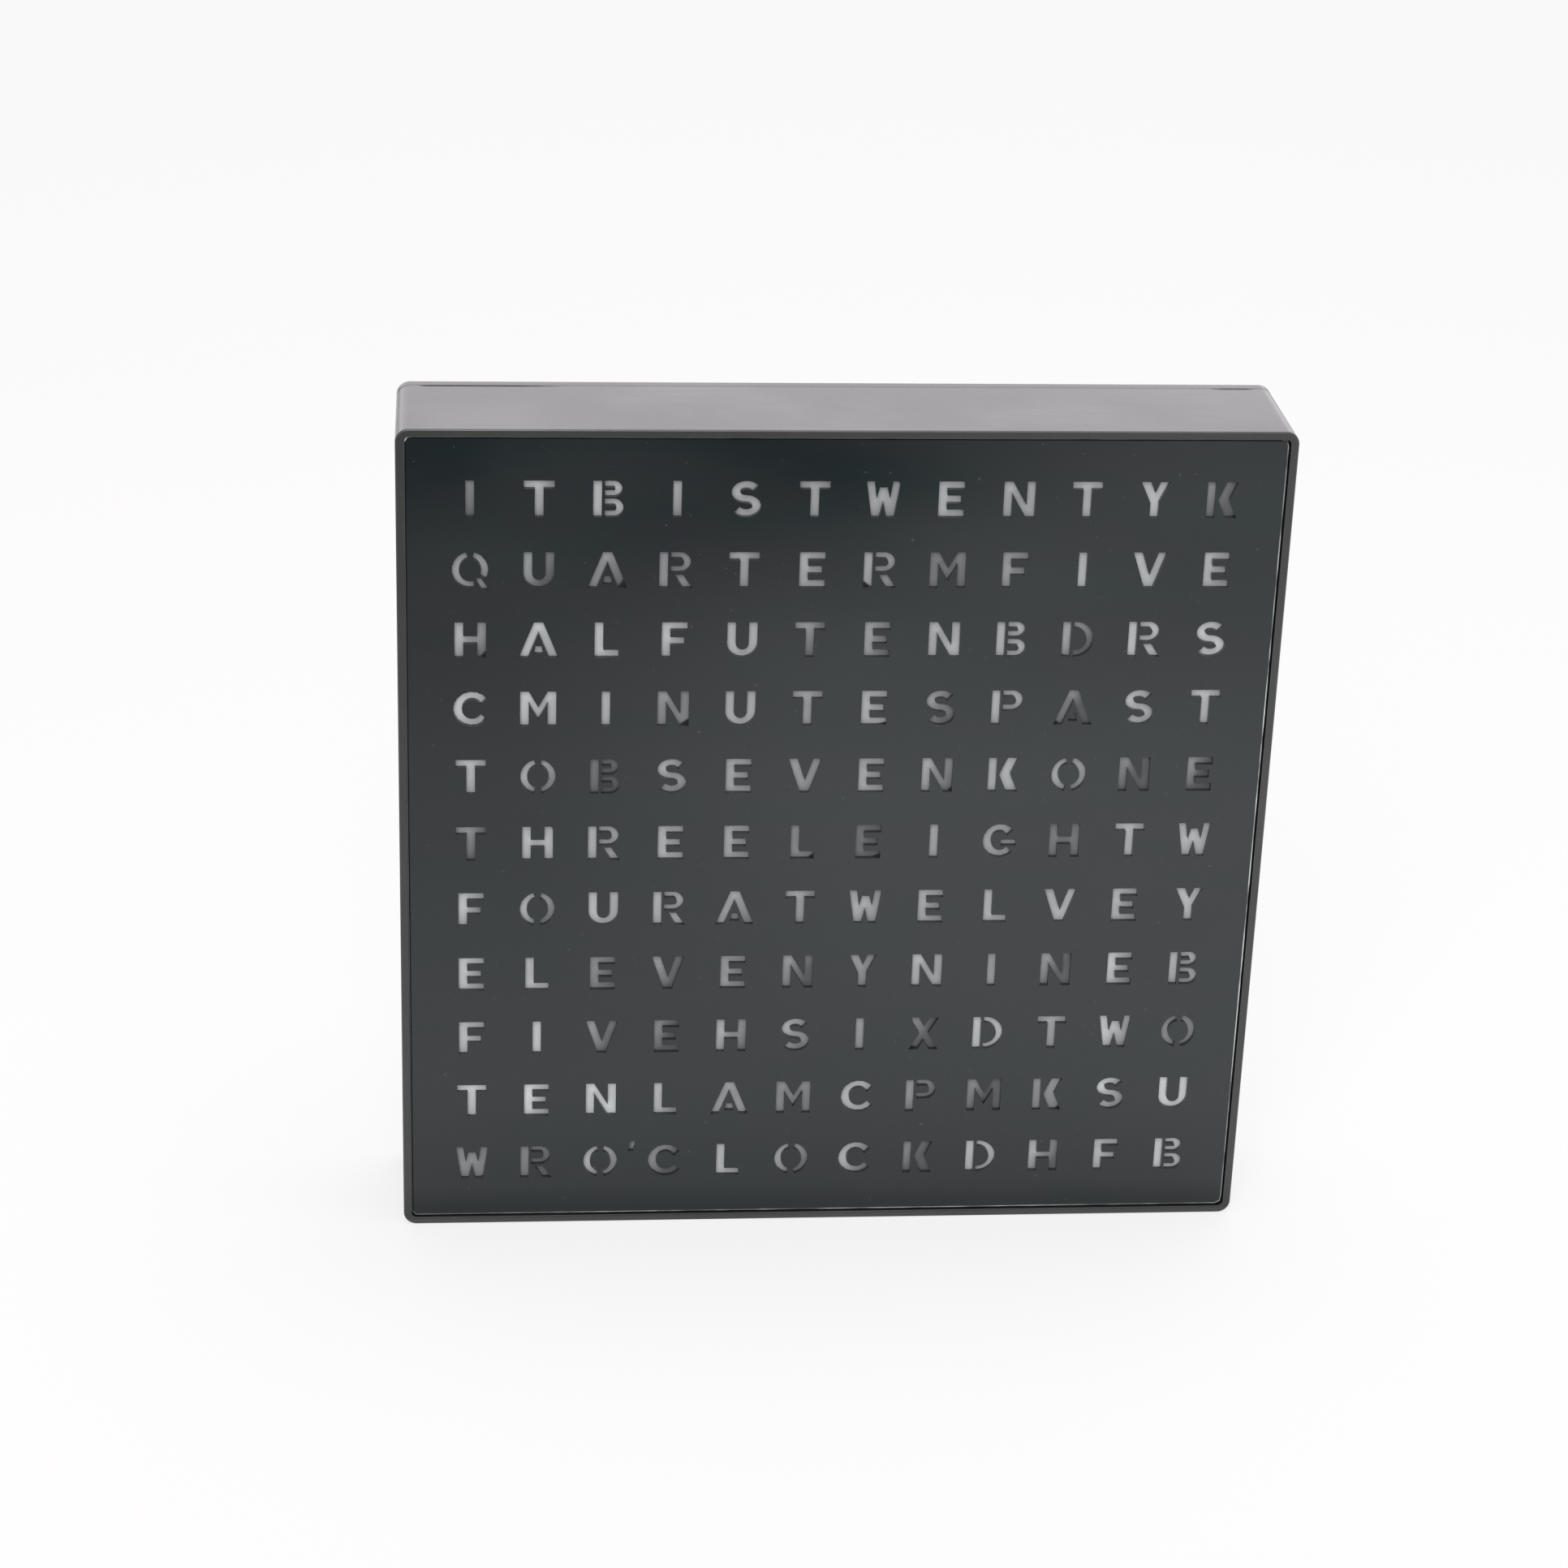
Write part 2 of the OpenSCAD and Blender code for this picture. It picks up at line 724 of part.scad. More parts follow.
module link_harness() {
    color("#d8d4c6") {
        translate([led_socket_x, y_led_back, case_h / 2 + control_z])
            socket_space(1, plug_gap, plug_out);
        translate([control_socket_x, y_control_back, case_h / 2 + control_z])
            socket_space(-1, plug_gap, plug_out);
        for (i = [0 : wires - 1])
            translate([led_socket_x, y_led_back + wire_up, case_h / 2 + control_z])
                translate([0, 0, (i - (wires - 1) / 2) * wire_pitch])
                    wire();
    }
}

// One wire: straight out of the plug, up in two bends, and straight into the other plug
module wire() {
    straight = wire_lead + plug_out + plug_gap;
    bend_x = plug_out + wire_lead;
    translate([-plug_gap, 0, 0])
        wire_run(straight);
    translate([bend_x, wire_bend, 0])
        wire_turn(-90);
    translate([bend_x + 2 * wire_bend, wire_bend, 0])
        wire_turn(90);
    translate([bend_x + 2 * wire_bend, 2 * wire_bend, 0])
        wire_run(straight);
}

module wire_run(l) {
    rotate([0, 90, 0])
        cylinder(d = wire_d, h = l);
}

module wire_turn(from) {
    rotate([0, 0, from])
        rotate_extrude(angle = 90)
            translate([wire_bend, 0])
                circle(d = wire_d);
}

// Power jack: moulded body, centre pin and sleeve spring

jack_collar_d = jack_socket_d + 2 * jack_wall;
jack_w = jack_collar_d + 2 * jack_shoulder;

module power_jack_body() {
    p = [jack_x, control_z];
    slot_w = jack_spring_w + 2 * jack_spring_gap;
    slot_h = jack_spring_h + jack_spring_gap;
    color("#17181a")
        difference() {
            union() {
                plate(y_control_back, standoff - jack_gap)
                    translate(p)
                        square(jack_w, center = true);
                plate(y_control_back + standoff / 2, y_recess - y_control_back - standoff / 2)
                    translate(p)
                        circle(d = jack_collar_d);
            }
            plate(y_control_back + jack_floor, y_back - y_control_back)
                translate(p)
                    circle(d = jack_socket_d);
            plate(y_control_back - past, slot_h + past)
                translate([p[0], p[1] - jack_socket_d / 2 - jack_w / 2])
                    square([slot_w, jack_w], center = true);
        }
}

module power_jack_pin() {
    r = jack_pin_d / 2;
    y0 = y_control_back + jack_floor;
    y1 = y_recess - jack_pin_depth;
    color("#c8b68a")
        turned([jack_x, control_z], [[0, y0], [r, y0], [r, y1 - r / 2], [r / 2, y1], [0, y1]]);
}

module power_jack_spring() {
    leaf_z = case_h / 2 + control_z - jack_socket_d / 2 - jack_spring_gap;
    color("#c9ccd0")
        translate([jack_x - jack_spring_w / 2, y_control_back, leaf_z]) {
            translate([0, 0, -jack_spring_t])
                cube([jack_spring_w, jack_spring_h, jack_spring_t]);
            translate([0, 0, -jack_spring_foot])
                cube([jack_spring_w, jack_spring_t, jack_spring_foot]);
        }
}

// Setting buttons: each cap passes through the rear cover and rests on the plunger of its switch

y_switch_floor = y_control_back + switch_floor;
y_frame = y_control_back + switch_h - frame_t;
y_plunger_tip = y_control_back + switch_h + plunger_out;
chamber_d = switch_w - 2 * (frame_t + chamber_wall);
dome_d = chamber_d - 2 * dome_gap;
dome_steps = 8;

module switch_base(x) {
    inner_w = switch_w - 2 * frame_t;
    color("#1b1c1e")
        difference() {
            plate(y_control_back, y_frame - y_control_back)
                translate([x, control_z])
                    square([inner_w, switch_w], center = true);
            plate(y_switch_floor, switch_h)
                translate([x, control_z])
                    circle(d = chamber_d);
        }
}

module switch_frame(x) {
    tab_x = switch_w / 2 - frame_t / 2;
    color("#cfd2d4") {
        plate(y_frame, frame_t)
            translate([x, control_z])
                difference() {
                    square(switch_w, center = true);
                    circle(d = plunger_d + 2 * plunger_gap);
                }
        plate(y_frame - tab_l, tab_l + frame_t)
            for (side = [-1, 1])
                translate([x + side * tab_x, control_z])
                    square([frame_t, tab_w], center = true);
    }
}

// The dome's outer and inner arcs share a centre and are turned about the switch's axis
module switch_dome(x) {
    rim = dome_d / 2;
    sphere_r = (rim * rim + dome_h * dome_h) / (2 * dome_h);
    y_centre = y_switch_floor + dome_h - sphere_r;
    outer = dome_arc(sphere_r, y_centre);
    inner = dome_arc(sphere_r - dome_t, y_centre);
    color("#b9bcc0")
        turned([x, control_z], concat(outer, reverse(inner)));
}

// Points from the axis down to the switch's floor on an arc of radius r
function dome_arc(r, y_centre) =
    let (fall = acos((y_switch_floor - y_centre) / r))
    [for (i = [0 : dome_steps]) [r * sin(fall * i / dome_steps), y_centre + r * cos(fall * i / dome_steps)]];

function reverse(list) = [for (i = [len(list) - 1 : -1 : 0]) list[i]];

module switch_plunger(x) {
    r = plunger_d / 2;
    foot_r = chamber_d / 2 - foot_gap;
    y0 = y_switch_floor + dome_h + plunger_gap;
    y1 = y_frame - plunger_gap;
    color("#3a3b3e")
        turned([x, control_z],
            [[0, y0], [foot_r, y0], [foot_r, y1], [r, y1], [r, y_plunger_tip], [0, y_plunger_tip]]);
}

module setting_button(x) {
    r = button_d / 2;
    stem_r = button_stem_d / 2;
    flange_r = button_d / 2 + button_flange_w;
    y_flange = y_plunger_tip + button_stem;
    y_cap = y_flange + button_flange_t;
    y_face = y_recess + button_proud;
    color("#2a2b2e")
        turned([x, control_z], [
            [0, y_plunger_tip], [stem_r, y_plunger_tip], [stem_r, y_flange], [flange_r, y_flange],
            [flange_r, y_cap], [r, y_cap], [r, y_face - button_chamfer], [r - button_chamfer, y_face],
            [0, y_face]
        ]);
}

// Rear cover: a flat moulding with lips, ribs, posts, keyholes and a recess for the controls

module rear_cover() {
    color("#202123")
        difference() {
            union() {
                chamfered_slab(case_w, case_h, corner_r, y_cover, y_back, seam_chamfer, edge_chamfer);
                cover_lips();
                cover_ribs();
                plate(y_control_back, standoff + cover_t / 2)
                    translate([0, control_z])
                        at(post_at)
                            circle(d = post_d);
            }
            control_openings();
            keyholes();
            cover_screw_holes();
            plate(y_control_back - past, board_shank_l - board_t + shank_end + past)
                translate([0, control_z])
                    at(post_at)
                        circle(d = board_hole_d);
        }
}

module cover_lips() {
    long_x = 2 * (corner_x - corner_boss_d / 2 - lip_end);
    long_z = 2 * (corner_z - corner_boss_d / 2 - lip_end);
    off_x = inner_w / 2 - lip_gap - lip_t / 2;
    off_z = inner_h / 2 - lip_gap - lip_t / 2;
    plate(y_cover - lip_h, lip_h + cover_t / 2)
        for (side = [-1, 1]) {
            translate([0, side * off_z])
                square([long_x, lip_t], center = true);
            translate([side * off_x, 0])
                square([lip_t, long_z], center = true);
        }
}

// Upright ribs between the control board and the top lip, clear of the keyholes' entries
module cover_ribs() {
    low = control_z + control_h / 2 + rib_clear;
    high = keyhole_z - keyhole_d / 2 - rib_clear;
    half = inner_w / 2 - lip_gap - lip_t - rib_clear;
    count = floor(half / rib_pitch);
    plate(y_cover - rib_h, rib_h + cover_t / 2) {
        for (i = [-count : count])
            translate([i * rib_pitch, (low + high) / 2])
                square([rib_t, high - low], center = true);
        for (z = [low, high])
            translate([0, z])
                square([2 * count * rib_pitch + rib_t, rib_t], center = true);
    }
}

module control_openings() {
    plate(y_recess, recess_d + past)
        translate([0, control_z])
            rounded(control_span + 2 * recess_margin, recess_h, recess_r);
    plate(y_cover - past, cover_t + 2 * past)
        translate([0, control_z]) {
            at([[hour_x, 0], [minute_x, 0]])
                circle(d = button_d + 2 * button_gap);
            translate([jack_x, 0])
                circle(d = jack_collar_d + 2 * jack_gap);
        }
}

module keyholes() {
    plate(y_cover - past, cover_t + 2 * past)
        for (side = [-1, 1])
            translate([side * keyhole_spread / 2, keyhole_z]) {
                circle(d = keyhole_d);
                translate([0, keyhole_rise / 2])
                    square([keyhole_slot_w, keyhole_rise], center = true);
                translate([0, keyhole_rise])
                    circle(d = keyhole_slot_w);
            }
}

module cover_screw_holes() {
    plate(y_cover - past, cover_t + 2 * past)
        at(corner_at)
            circle(d = cover_hole_d);
    plate(y_screw_seat, counterbore_depth + past)
        at(corner_at)
            circle(d = cover_head_d + 2 * head_gap);
}

// Screws: a domed head at y and a plain shank with a short point; facing tells where the head looks

module screw(p, y, facing, head_d, head_h, shank_d, shank_l) {
    head_r = head_d / 2;
    shank_r = shank_d / 2;
    translate([p[0], y, case_h / 2 + p[1]])
        rotate([-90 * facing, 0, 0])
            rotate_extrude()
                polygon([
                    [0, -shank_l], [shank_r / 2, -shank_l], [shank_r, shank_r - shank_l], [shank_r, 0],
                    [head_r, 0], [head_r, head_h / 2], [0.7 * head_r, head_h], [0, head_h]
                ]);
}

module led_board_screws() {
    color("#9fa2a6")
        for (p = led_boss_at)
            screw(p, y_led_back, 1, board_head_d, board_head_h, board_shank_d, board_shank_l);
}

module control_board_screws() {
    color("#9fa2a6")
        for (p = post_at)
            screw([p[0], p[1] + control_z], y_control, -1,
                board_head_d, board_head_h, board_shank_d, board_shank_l);
}

module rear_cover_screws() {
    color("#3c3d40")
        for (p = corner_at)
            screw(p, y_screw_seat, 1, cover_head_d, cover_head_h, cover_shank_d, cover_shank_l);
}

case_shell();
letter_panel();
diffuser_sheet();
light_baffle();
led_board();
word_leds();
driver_chips();
row_resistors();
led_board_socket();
led_board_screws();
link_harness();
control_board();
control_socket();
microcontroller();
clock_crystal();
filter_capacitor();
control_board_screws();
power_jack_body();
power_jack_pin();
power_jack_spring();
switch_base(hour_x);  // hour_switch_base
switch_frame(hour_x);  // hour_switch_frame
switch_dome(hour_x);  // hour_switch_dome
switch_plunger(hour_x);  // hour_switch_plunger
setting_button(hour_x);  // hour_button
switch_base(minute_x);  // minute_switch_base
switch_frame(minute_x);  // minute_switch_frame
switch_dome(minute_x);  // minute_switch_dome
switch_plunger(minute_x);  // minute_switch_plunger
setting_button(minute_x);  // minute_button
rear_cover();
rear_cover_screws();
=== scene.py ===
import json
import math

import bmesh
import bpy
from mathutils import Matrix, Vector

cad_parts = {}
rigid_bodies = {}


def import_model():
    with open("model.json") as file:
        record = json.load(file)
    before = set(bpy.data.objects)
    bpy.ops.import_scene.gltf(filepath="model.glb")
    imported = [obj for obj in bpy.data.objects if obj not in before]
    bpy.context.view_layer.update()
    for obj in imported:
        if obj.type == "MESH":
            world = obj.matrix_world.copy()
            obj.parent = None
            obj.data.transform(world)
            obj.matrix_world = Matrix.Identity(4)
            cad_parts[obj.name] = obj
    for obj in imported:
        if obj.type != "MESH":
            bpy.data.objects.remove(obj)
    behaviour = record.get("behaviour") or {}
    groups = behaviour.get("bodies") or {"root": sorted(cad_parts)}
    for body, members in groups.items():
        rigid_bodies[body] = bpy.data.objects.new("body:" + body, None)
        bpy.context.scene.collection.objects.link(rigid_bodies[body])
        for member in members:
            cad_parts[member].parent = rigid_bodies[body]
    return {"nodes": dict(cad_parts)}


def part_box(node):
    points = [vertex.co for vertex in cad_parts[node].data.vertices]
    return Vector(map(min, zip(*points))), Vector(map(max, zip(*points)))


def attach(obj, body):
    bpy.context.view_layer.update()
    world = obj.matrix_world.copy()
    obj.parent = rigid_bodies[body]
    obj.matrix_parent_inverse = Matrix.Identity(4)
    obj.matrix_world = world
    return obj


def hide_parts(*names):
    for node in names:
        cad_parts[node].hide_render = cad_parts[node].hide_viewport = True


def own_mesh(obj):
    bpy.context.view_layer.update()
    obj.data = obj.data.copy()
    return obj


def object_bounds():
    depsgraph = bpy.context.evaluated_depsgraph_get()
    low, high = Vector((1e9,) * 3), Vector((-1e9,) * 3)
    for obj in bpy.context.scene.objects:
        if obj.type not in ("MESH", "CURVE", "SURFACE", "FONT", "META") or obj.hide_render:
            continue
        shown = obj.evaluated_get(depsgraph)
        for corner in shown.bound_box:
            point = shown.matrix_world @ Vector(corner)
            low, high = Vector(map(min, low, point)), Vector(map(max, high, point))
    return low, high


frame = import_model()
cad_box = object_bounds()
cad = frame["nodes"]
MM = 0.001

# Case: a square frame of satin black plastic that everything else is stacked into.
# It is injection moulded in one piece with its rim, panel ledge and screw bosses. Its walls carry the
# fine grain of the mould and smears from handling, and its edges are rounded and slightly rubbed.
# Painted shade darkens the inside of the rim round the panel and two lengths of the seam at the top.
CASE_BLACK = (0.038, 0.0378, 0.0385, 1)
CASE_IOR = 1.55
CASE_EDGE_ROUND = 0.1 * MM
SMEAR_ROUGHNESS = 0.2
# Near-black of painted shade, for the inside of the rim and two lengths of the seam.
PAINTED_SHADE_BLACK = (0.006, 0.006, 0.0065, 1)
RUBBED_EDGE = (0.09, 0.09, 0.092, 1)
PALE_DUST = (0.3, 0.29, 0.27, 1)
RIM_WIDTH = 1.8 * MM
SEAT_DEPTH = 2.2 * MM
SAME_PLACE = 0.001 * MM
SHARP_EDGE = math.radians(28)
case_low, case_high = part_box("case_shell")
case_middle = (case_low + case_high) / 2
# Painted shade on two lengths of the top wall's rear edge, dark as an open seam though the cover sits
# tight: the x in mm where each begins, is full, starts to fade and ends, and how far the shade reaches.
SEAM_SHADE_LENGTHS = ((-94, -92, -72, -58), (83, 87, 92, 95))
SEAM_SHADE, SEAM_SHADE_BLUR = 0.75 * MM, 0.2 * MM


def smooth_by_angle(mesh):
    """Smooth faces that keep their sharp edges."""
    shape = bmesh.new()
    shape.from_mesh(mesh)
    for face in shape.faces:
        face.smooth = True
    for edge in shape.edges:
        edge.smooth = edge.calc_face_angle(0) < SHARP_EDGE
    shape.to_mesh(mesh)
    shape.free()


def merged_shape(node):
    """A CAD node's mesh, open for editing, with the points that share a place merged."""
    shape = bmesh.new()
    shape.from_mesh(cad[node].data)
    bmesh.ops.remove_doubles(shape, verts=shape.verts, dist=SAME_PLACE)
    return shape


def added(name, data):
    """A new object in the scene."""
    thing = bpy.data.objects.new(name, data)
    bpy.context.scene.collection.objects.link(thing)
    return thing


def merged_copy(node, name, *finishes, edge_round=0.0, segments=3):
    """One merged mesh of a CAD node, its sharp edges rounded and marked in the attribute edge_wear."""
    shape = merged_shape(node)
    flat = math.radians(0.5)
    bmesh.ops.dissolve_limit(shape, angle_limit=flat, verts=shape.verts, edges=shape.edges)
    wear = shape.faces.layers.float.new("edge_wear")
    if edge_round:
        sharp = [edge for edge in shape.edges if edge.calc_face_angle(0) > SHARP_EDGE]
        rounded = bmesh.ops.bevel(
            shape, geom=sharp, offset=edge_round, offset_type="OFFSET", segments=segments,
            profile=0.5, affect="EDGES", clamp_overlap=False, loop_slide=True,
        )
        for face in rounded["faces"]:
            face[wear] = 1.0
    mesh = bpy.data.meshes.new(name)
    shape.to_mesh(mesh)
    shape.free()
    smooth_by_angle(mesh)
    for finish in finishes:
        mesh.materials.append(finish)
    piece = added(name, mesh)
    if edge_round:
        even = piece.modifiers.new("even_shading", "WEIGHTED_NORMAL")
        even.keep_sharp = True
        even.weight = 100
    return piece


def place(tree, kind, inputs=None, **settings):
    """A new node; each input is a constant, the socket that feeds it, or a node whose first output does."""
    node = tree.nodes.new(kind)
    for name, value in settings.items():
        setattr(node, name, value)
    for name, value in (inputs or {}).items():
        if isinstance(value, bpy.types.Node):
            value = value.outputs[0]
        if isinstance(value, bpy.types.NodeSocket):
            tree.links.new(value, node.inputs[name])
        else:
            node.inputs[name].default_value = value
    return node


def made_from(kind, inputs, **settings):
    """A new node in the tree that its inputs are in."""
    linked = (bpy.types.Node, bpy.types.NodeSocket)
    sources = [value for value in inputs.values() if isinstance(value, linked)]
    return place(sources[0].id_data, kind, inputs, **settings)


def math_node(operation, a, b=0.0):
    return made_from("ShaderNodeMath", {0: a, 1: b}, operation=operation).outputs[0]


def product(first, *others):
    for other in others:
        first = math_node("MULTIPLY", first, other)
    return first


def here(tree):
    """The shaded point, in the object's own coordinates."""
    return place(tree, "ShaderNodeTexCoord").outputs["Object"]


def split(vector):
    """The X, Y and Z of a vector."""
    return made_from("ShaderNodeSeparateXYZ", {0: vector}).outputs


def noise(point, scale, detail):
    return made_from("ShaderNodeTexNoise", {"Vector": point, "Scale": scale, "Detail": detail}).outputs["Fac"]


def in_range(value, low, high, to_low, to_high):
    """A value carried from one range to another and held inside it."""
    sockets = {"Value": value, "From Min": low, "From Max": high, "To Min": to_low, "To Max": to_high}
    return made_from("ShaderNodeMapRange", sockets).outputs["Result"]


def blend_colour(factor, a, b):
    return made_from("ShaderNodeMix", {"Factor": factor, 6: a, 7: b}, data_type="RGBA").outputs[2]


def vector_math(operation, a, b=(0, 0, 0)):
    return made_from("ShaderNodeVectorMath", {0: a, 1: b}, operation=operation)


def shaded(colour, factor):
    """A colour made darker or paler."""
    return vector_math("MULTIPLY", colour, factor).outputs[0]


def new_tree(kind, name, inputs, outputs):
    """An empty node tree with inputs and outputs of these names and kinds."""
    tree = bpy.data.node_groups.new(name, kind)
    for sockets, in_out in ((inputs, "INPUT"), (outputs, "OUTPUT")):
        for label, socket in sockets.items():
            tree.interface.new_socket(label, in_out=in_out, socket_type="NodeSocket" + socket)
    return tree, tree.nodes.new("NodeGroupInput").outputs, tree.nodes.new("NodeGroupOutput").inputs


def new_finish(name, **constants):
    """A material with its Principled shader; the constants are set on the shader's own sockets."""
    material = bpy.data.materials.new(name)
    material.use_nodes = True
    tree = material.node_tree
    tree.nodes.clear()
    shader = tree.nodes.new("ShaderNodeBsdfPrincipled")
    output = tree.nodes.new("ShaderNodeOutputMaterial")
    tree.links.new(shader.outputs["BSDF"], output.inputs["Surface"])
    for label, value in constants.items():
        shader.inputs[label.replace("_", " ")].default_value = value
    return material, tree, shader


def feed(shader, **sources):
    """Links each output to the shader's socket of that name."""
    for label, source in sources.items():
        shader.id_data.links.new(source, shader.inputs[label.replace("_", " ")])


def add_bump(shader, height, depth):
    feed(shader, Normal=made_from("ShaderNodeBump", {"Height": height, "Distance": depth}).outputs[0])


def moulded_grain_group():
    """Fine mould grain, faint marks from wiping, a few dust specks, rubbed edges and smears that shine."""
    group, given, result = new_tree("ShaderNodeTree", "moulded_grain", {
        "Colour": "Color", "Roughness": "Float", "Grain Scale": "Float", "Dust": "Float",
        "Edge Wear": "Float", "Smears": "Float",
    }, {"Colour": "Color", "Roughness": "Float", "Height": "Float", "Smears": "Float"})
    point = here(group)
    wiped = place(group, "ShaderNodeMapping", {"Vector": point, "Scale": (0.06, 1.0, 1.0)})
    grain = noise(point, given["Grain Scale"], 2.0)
    sheen = noise(point, 26.0, 3.0)
    marks = noise(wiped, 700.0, 2.0)
    specks = noise(point, 1100.0, 1.0)
    edge = place(group, "ShaderNodeAttribute", attribute_name="edge_wear").outputs["Fac"]
    wear = product(edge, in_range(sheen, 0.4, 0.65, 0.25, 1.0), given["Edge Wear"])
    dust = product(in_range(specks, 0.72, 0.8, 0.0, 1.0), given["Dust"])
    toned = shaded(given["Colour"], in_range(sheen, 0.3, 0.7, 0.93, 1.07))
    worn = blend_colour(wear, toned, RUBBED_EDGE)
    streaked = in_range(marks, 0.3, 0.7, -0.012, 0.012)
    mottled = in_range(grain, 0.3, 0.7, -0.05, 0.05)
    rough = math_node("ADD", math_node("ADD", given["Roughness"], streaked), mottled)
    smears = product(in_range(sheen, 0.42, 0.62, 0.0, 1.0),
                     in_range(marks, 0.35, 0.65, 0.4, 1.0), given["Smears"])
    group.links.new(blend_colour(dust, worn, PALE_DUST), result["Colour"])
    group.links.new(rough, result["Roughness"])
    group.links.new(grain, result["Height"])
    group.links.new(smears, result["Smears"])
    return group


moulded_grain = moulded_grain_group()


def moulded_plastic(name, colour, roughness, grain_scale, grain_depth,
                    dust=0.3, edge_wear=0.5, smears=0.0, **constants):
    """A moulded plastic with the shared grain."""
    material, tree, shader = new_finish(name, **constants)
    grain = place(tree, "ShaderNodeGroup", {
        "Colour": colour, "Roughness": roughness, "Grain Scale": grain_scale, "Dust": dust,
        "Edge Wear": edge_wear, "Smears": smears}, node_tree=moulded_grain).outputs
    feed(shader, Base_Color=grain["Colour"], Roughness=grain["Roughness"], Coat_Weight=grain["Smears"])
    add_bump(shader, grain["Height"], grain_depth)
    return material


def painted_shade_lengths(x):
    """1 along the lengths of the seam that get painted shade, and 0 elsewhere."""
    lengths = [product(in_range(x, begin * MM, full * MM, 0.0, 1.0),
                       in_range(x, fade * MM, end * MM, 1.0, 0.0))
               for begin, full, fade, end in SEAM_SHADE_LENGTHS]
    return math_node("MAXIMUM", *lengths)


def painted_seam_shade(material):
    """Painted shade: dark lengths along the top wall's rear edge."""
    tree = material.node_tree
    shader = tree.nodes["Principled BSDF"]
    x, y, z = split(here(tree))
    starts = case_high.y - SEAM_SHADE
    mask = product(painted_shade_lengths(x), in_range(y, starts - SEAM_SHADE_BLUR, starts, 0.0, 1.0),
                   math_node("GREATER_THAN", z, case_middle.z))
    colour, rough = [shader.inputs[label].links[0].from_socket for label in ("Base Color", "Roughness")]
    feed(shader, Base_Color=blend_colour(mask, colour, PAINTED_SHADE_BLACK), Roughness=math_node("MAXIMUM", rough, mask))


case_plastic = moulded_plastic("satin_case_plastic", CASE_BLACK, roughness=0.2, grain_scale=2600.0,
                               grain_depth=0.008 * MM, dust=0.12, smears=0.16,
                               IOR=CASE_IOR, Coat_Roughness=SMEAR_ROUGHNESS)
# Painted shade along two lengths of the seam on the top wall.
painted_seam_shade(case_plastic)
# Painted shade: the inside of the rim and the seat round the panel get a near-black finish, darker than the
# case.
seat_plastic = moulded_plastic("seat_plastic", PAINTED_SHADE_BLACK, roughness=0.6, grain_scale=2600.0,
                               grain_depth=0.02 * MM, dust=0.0, edge_wear=0.0)
case_frame = merged_copy("case_shell", "case_frame", case_plastic, seat_plastic, edge_round=CASE_EDGE_ROUND)
for face in case_frame.data.polygons:
    off = face.center - case_middle
    inside_rim = max(abs(off.x), abs(off.z)) < case_high.x - RIM_WIDTH + CASE_EDGE_ROUND / 2
    if inside_rim and case_low.y + CASE_EDGE_ROUND < face.center.y < case_low.y + SEAT_DEPTH:
        face.material_index = 1
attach(case_frame, "clock")
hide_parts("case_shell")

# Letter panel: a dark acrylic plate, polished in front, that drops into the case's rim.
# The letters are cut right through it as a stencil, so every closed letter keeps a bridge
# of plate; the rows hold the words that tell the time.
ROWS = (
    "ITBISTWENTYK",
    "QUARTERMFIVE",
    "HALFUTENBDRS",
    "CMINUTESPAST",
    "TOBSEVENKONE",
    "THREELEIGHTW",
    "FOURATWELVEY",
    "ELEVENYNINEB",
    "FIVEHSIXDTWO",
    "TENLAMCPMKSU",
    "WROCLOCKDHFB",
)
APOSTROPHE_AFTER = (10, 2)
LETTER_PITCH = (15.0, 16.5)
CAP = 8.4
STEM = 1.9
BOW = 1.55
BRIDGE = 0.6
MIDDLE_ARM_CUT = 0.7
PANEL_EDGE = 0.3 * MM
PANEL_CORNER = 1.0 * MM
PANEL_IOR = 1.6
CUT_WALL_FACING = 0.3
PANEL_TINT = (0.0068, 0.0146, 0.015, 1)
PANEL_TINT_WIPED = (0.0108, 0.0126, 0.0152, 1)
PANEL_DUST = (0.2, 0.2, 0.19, 1)
CUT_EDGE = (0.03, 0.034, 0.034, 1)


def bar(x0, z0, x1, z1):
    return [(x0, z0), (x1, z0), (x1, z1), (x0, z1)]


def meet(a, b, c, d):
    """Where the line through a and b crosses the line through c and d."""
    run, rise = b[0] - a[0], b[1] - a[1]
    other_run, other_rise = d[0] - c[0], d[1] - c[1]
    along = ((c[0] - a[0]) * other_rise - (c[1] - a[1]) * other_run) / (run * other_rise - rise * other_run)
    return (a[0] + along * run, a[1] + along * rise)


def arc(x, z, across, up, start, end, steps=14):
    angles = [math.radians(start + (end - start) * i / steps) for i in range(steps + 1)]
    return [(x + across * math.cos(t), z + up * math.sin(t)) for t in angles]


def ribbon(path, width):
    """The outline of a stroke of even width along a path."""
    left, right = [], []
    for i, point in enumerate(path):
        before, after = path[max(i - 1, 0)], path[min(i + 1, len(path) - 1)]
        along = Vector(after) - Vector(before)
        side = Vector((-along.y, along.x)).normalized() * width / 2
        left.append(tuple(Vector(point) + side))
        right.append(tuple(Vector(point) - side))
    return left + right[::-1]


def round_stroke(width, start, end, stroke):
    """A stroke along the oval that fills a letter of this width."""
    return ribbon(arc(width / 2, CAP / 2, (width - stroke) / 2, (CAP - stroke) / 2, start, end), stroke)


def bowl(x0, z0, x1, z1):
    """The round part of a letter that stands free of its stem."""
    radius = (z1 - z0 - BOW) / 2
    middle = (z0 + z1) / 2
    turn = x1 - BOW / 2 - radius
    bend = arc(turn, middle, radius, radius, 90, -90)
    return ribbon([(x0, z1 - BOW / 2)] + bend + [(x0, z0 + BOW / 2)], BOW)


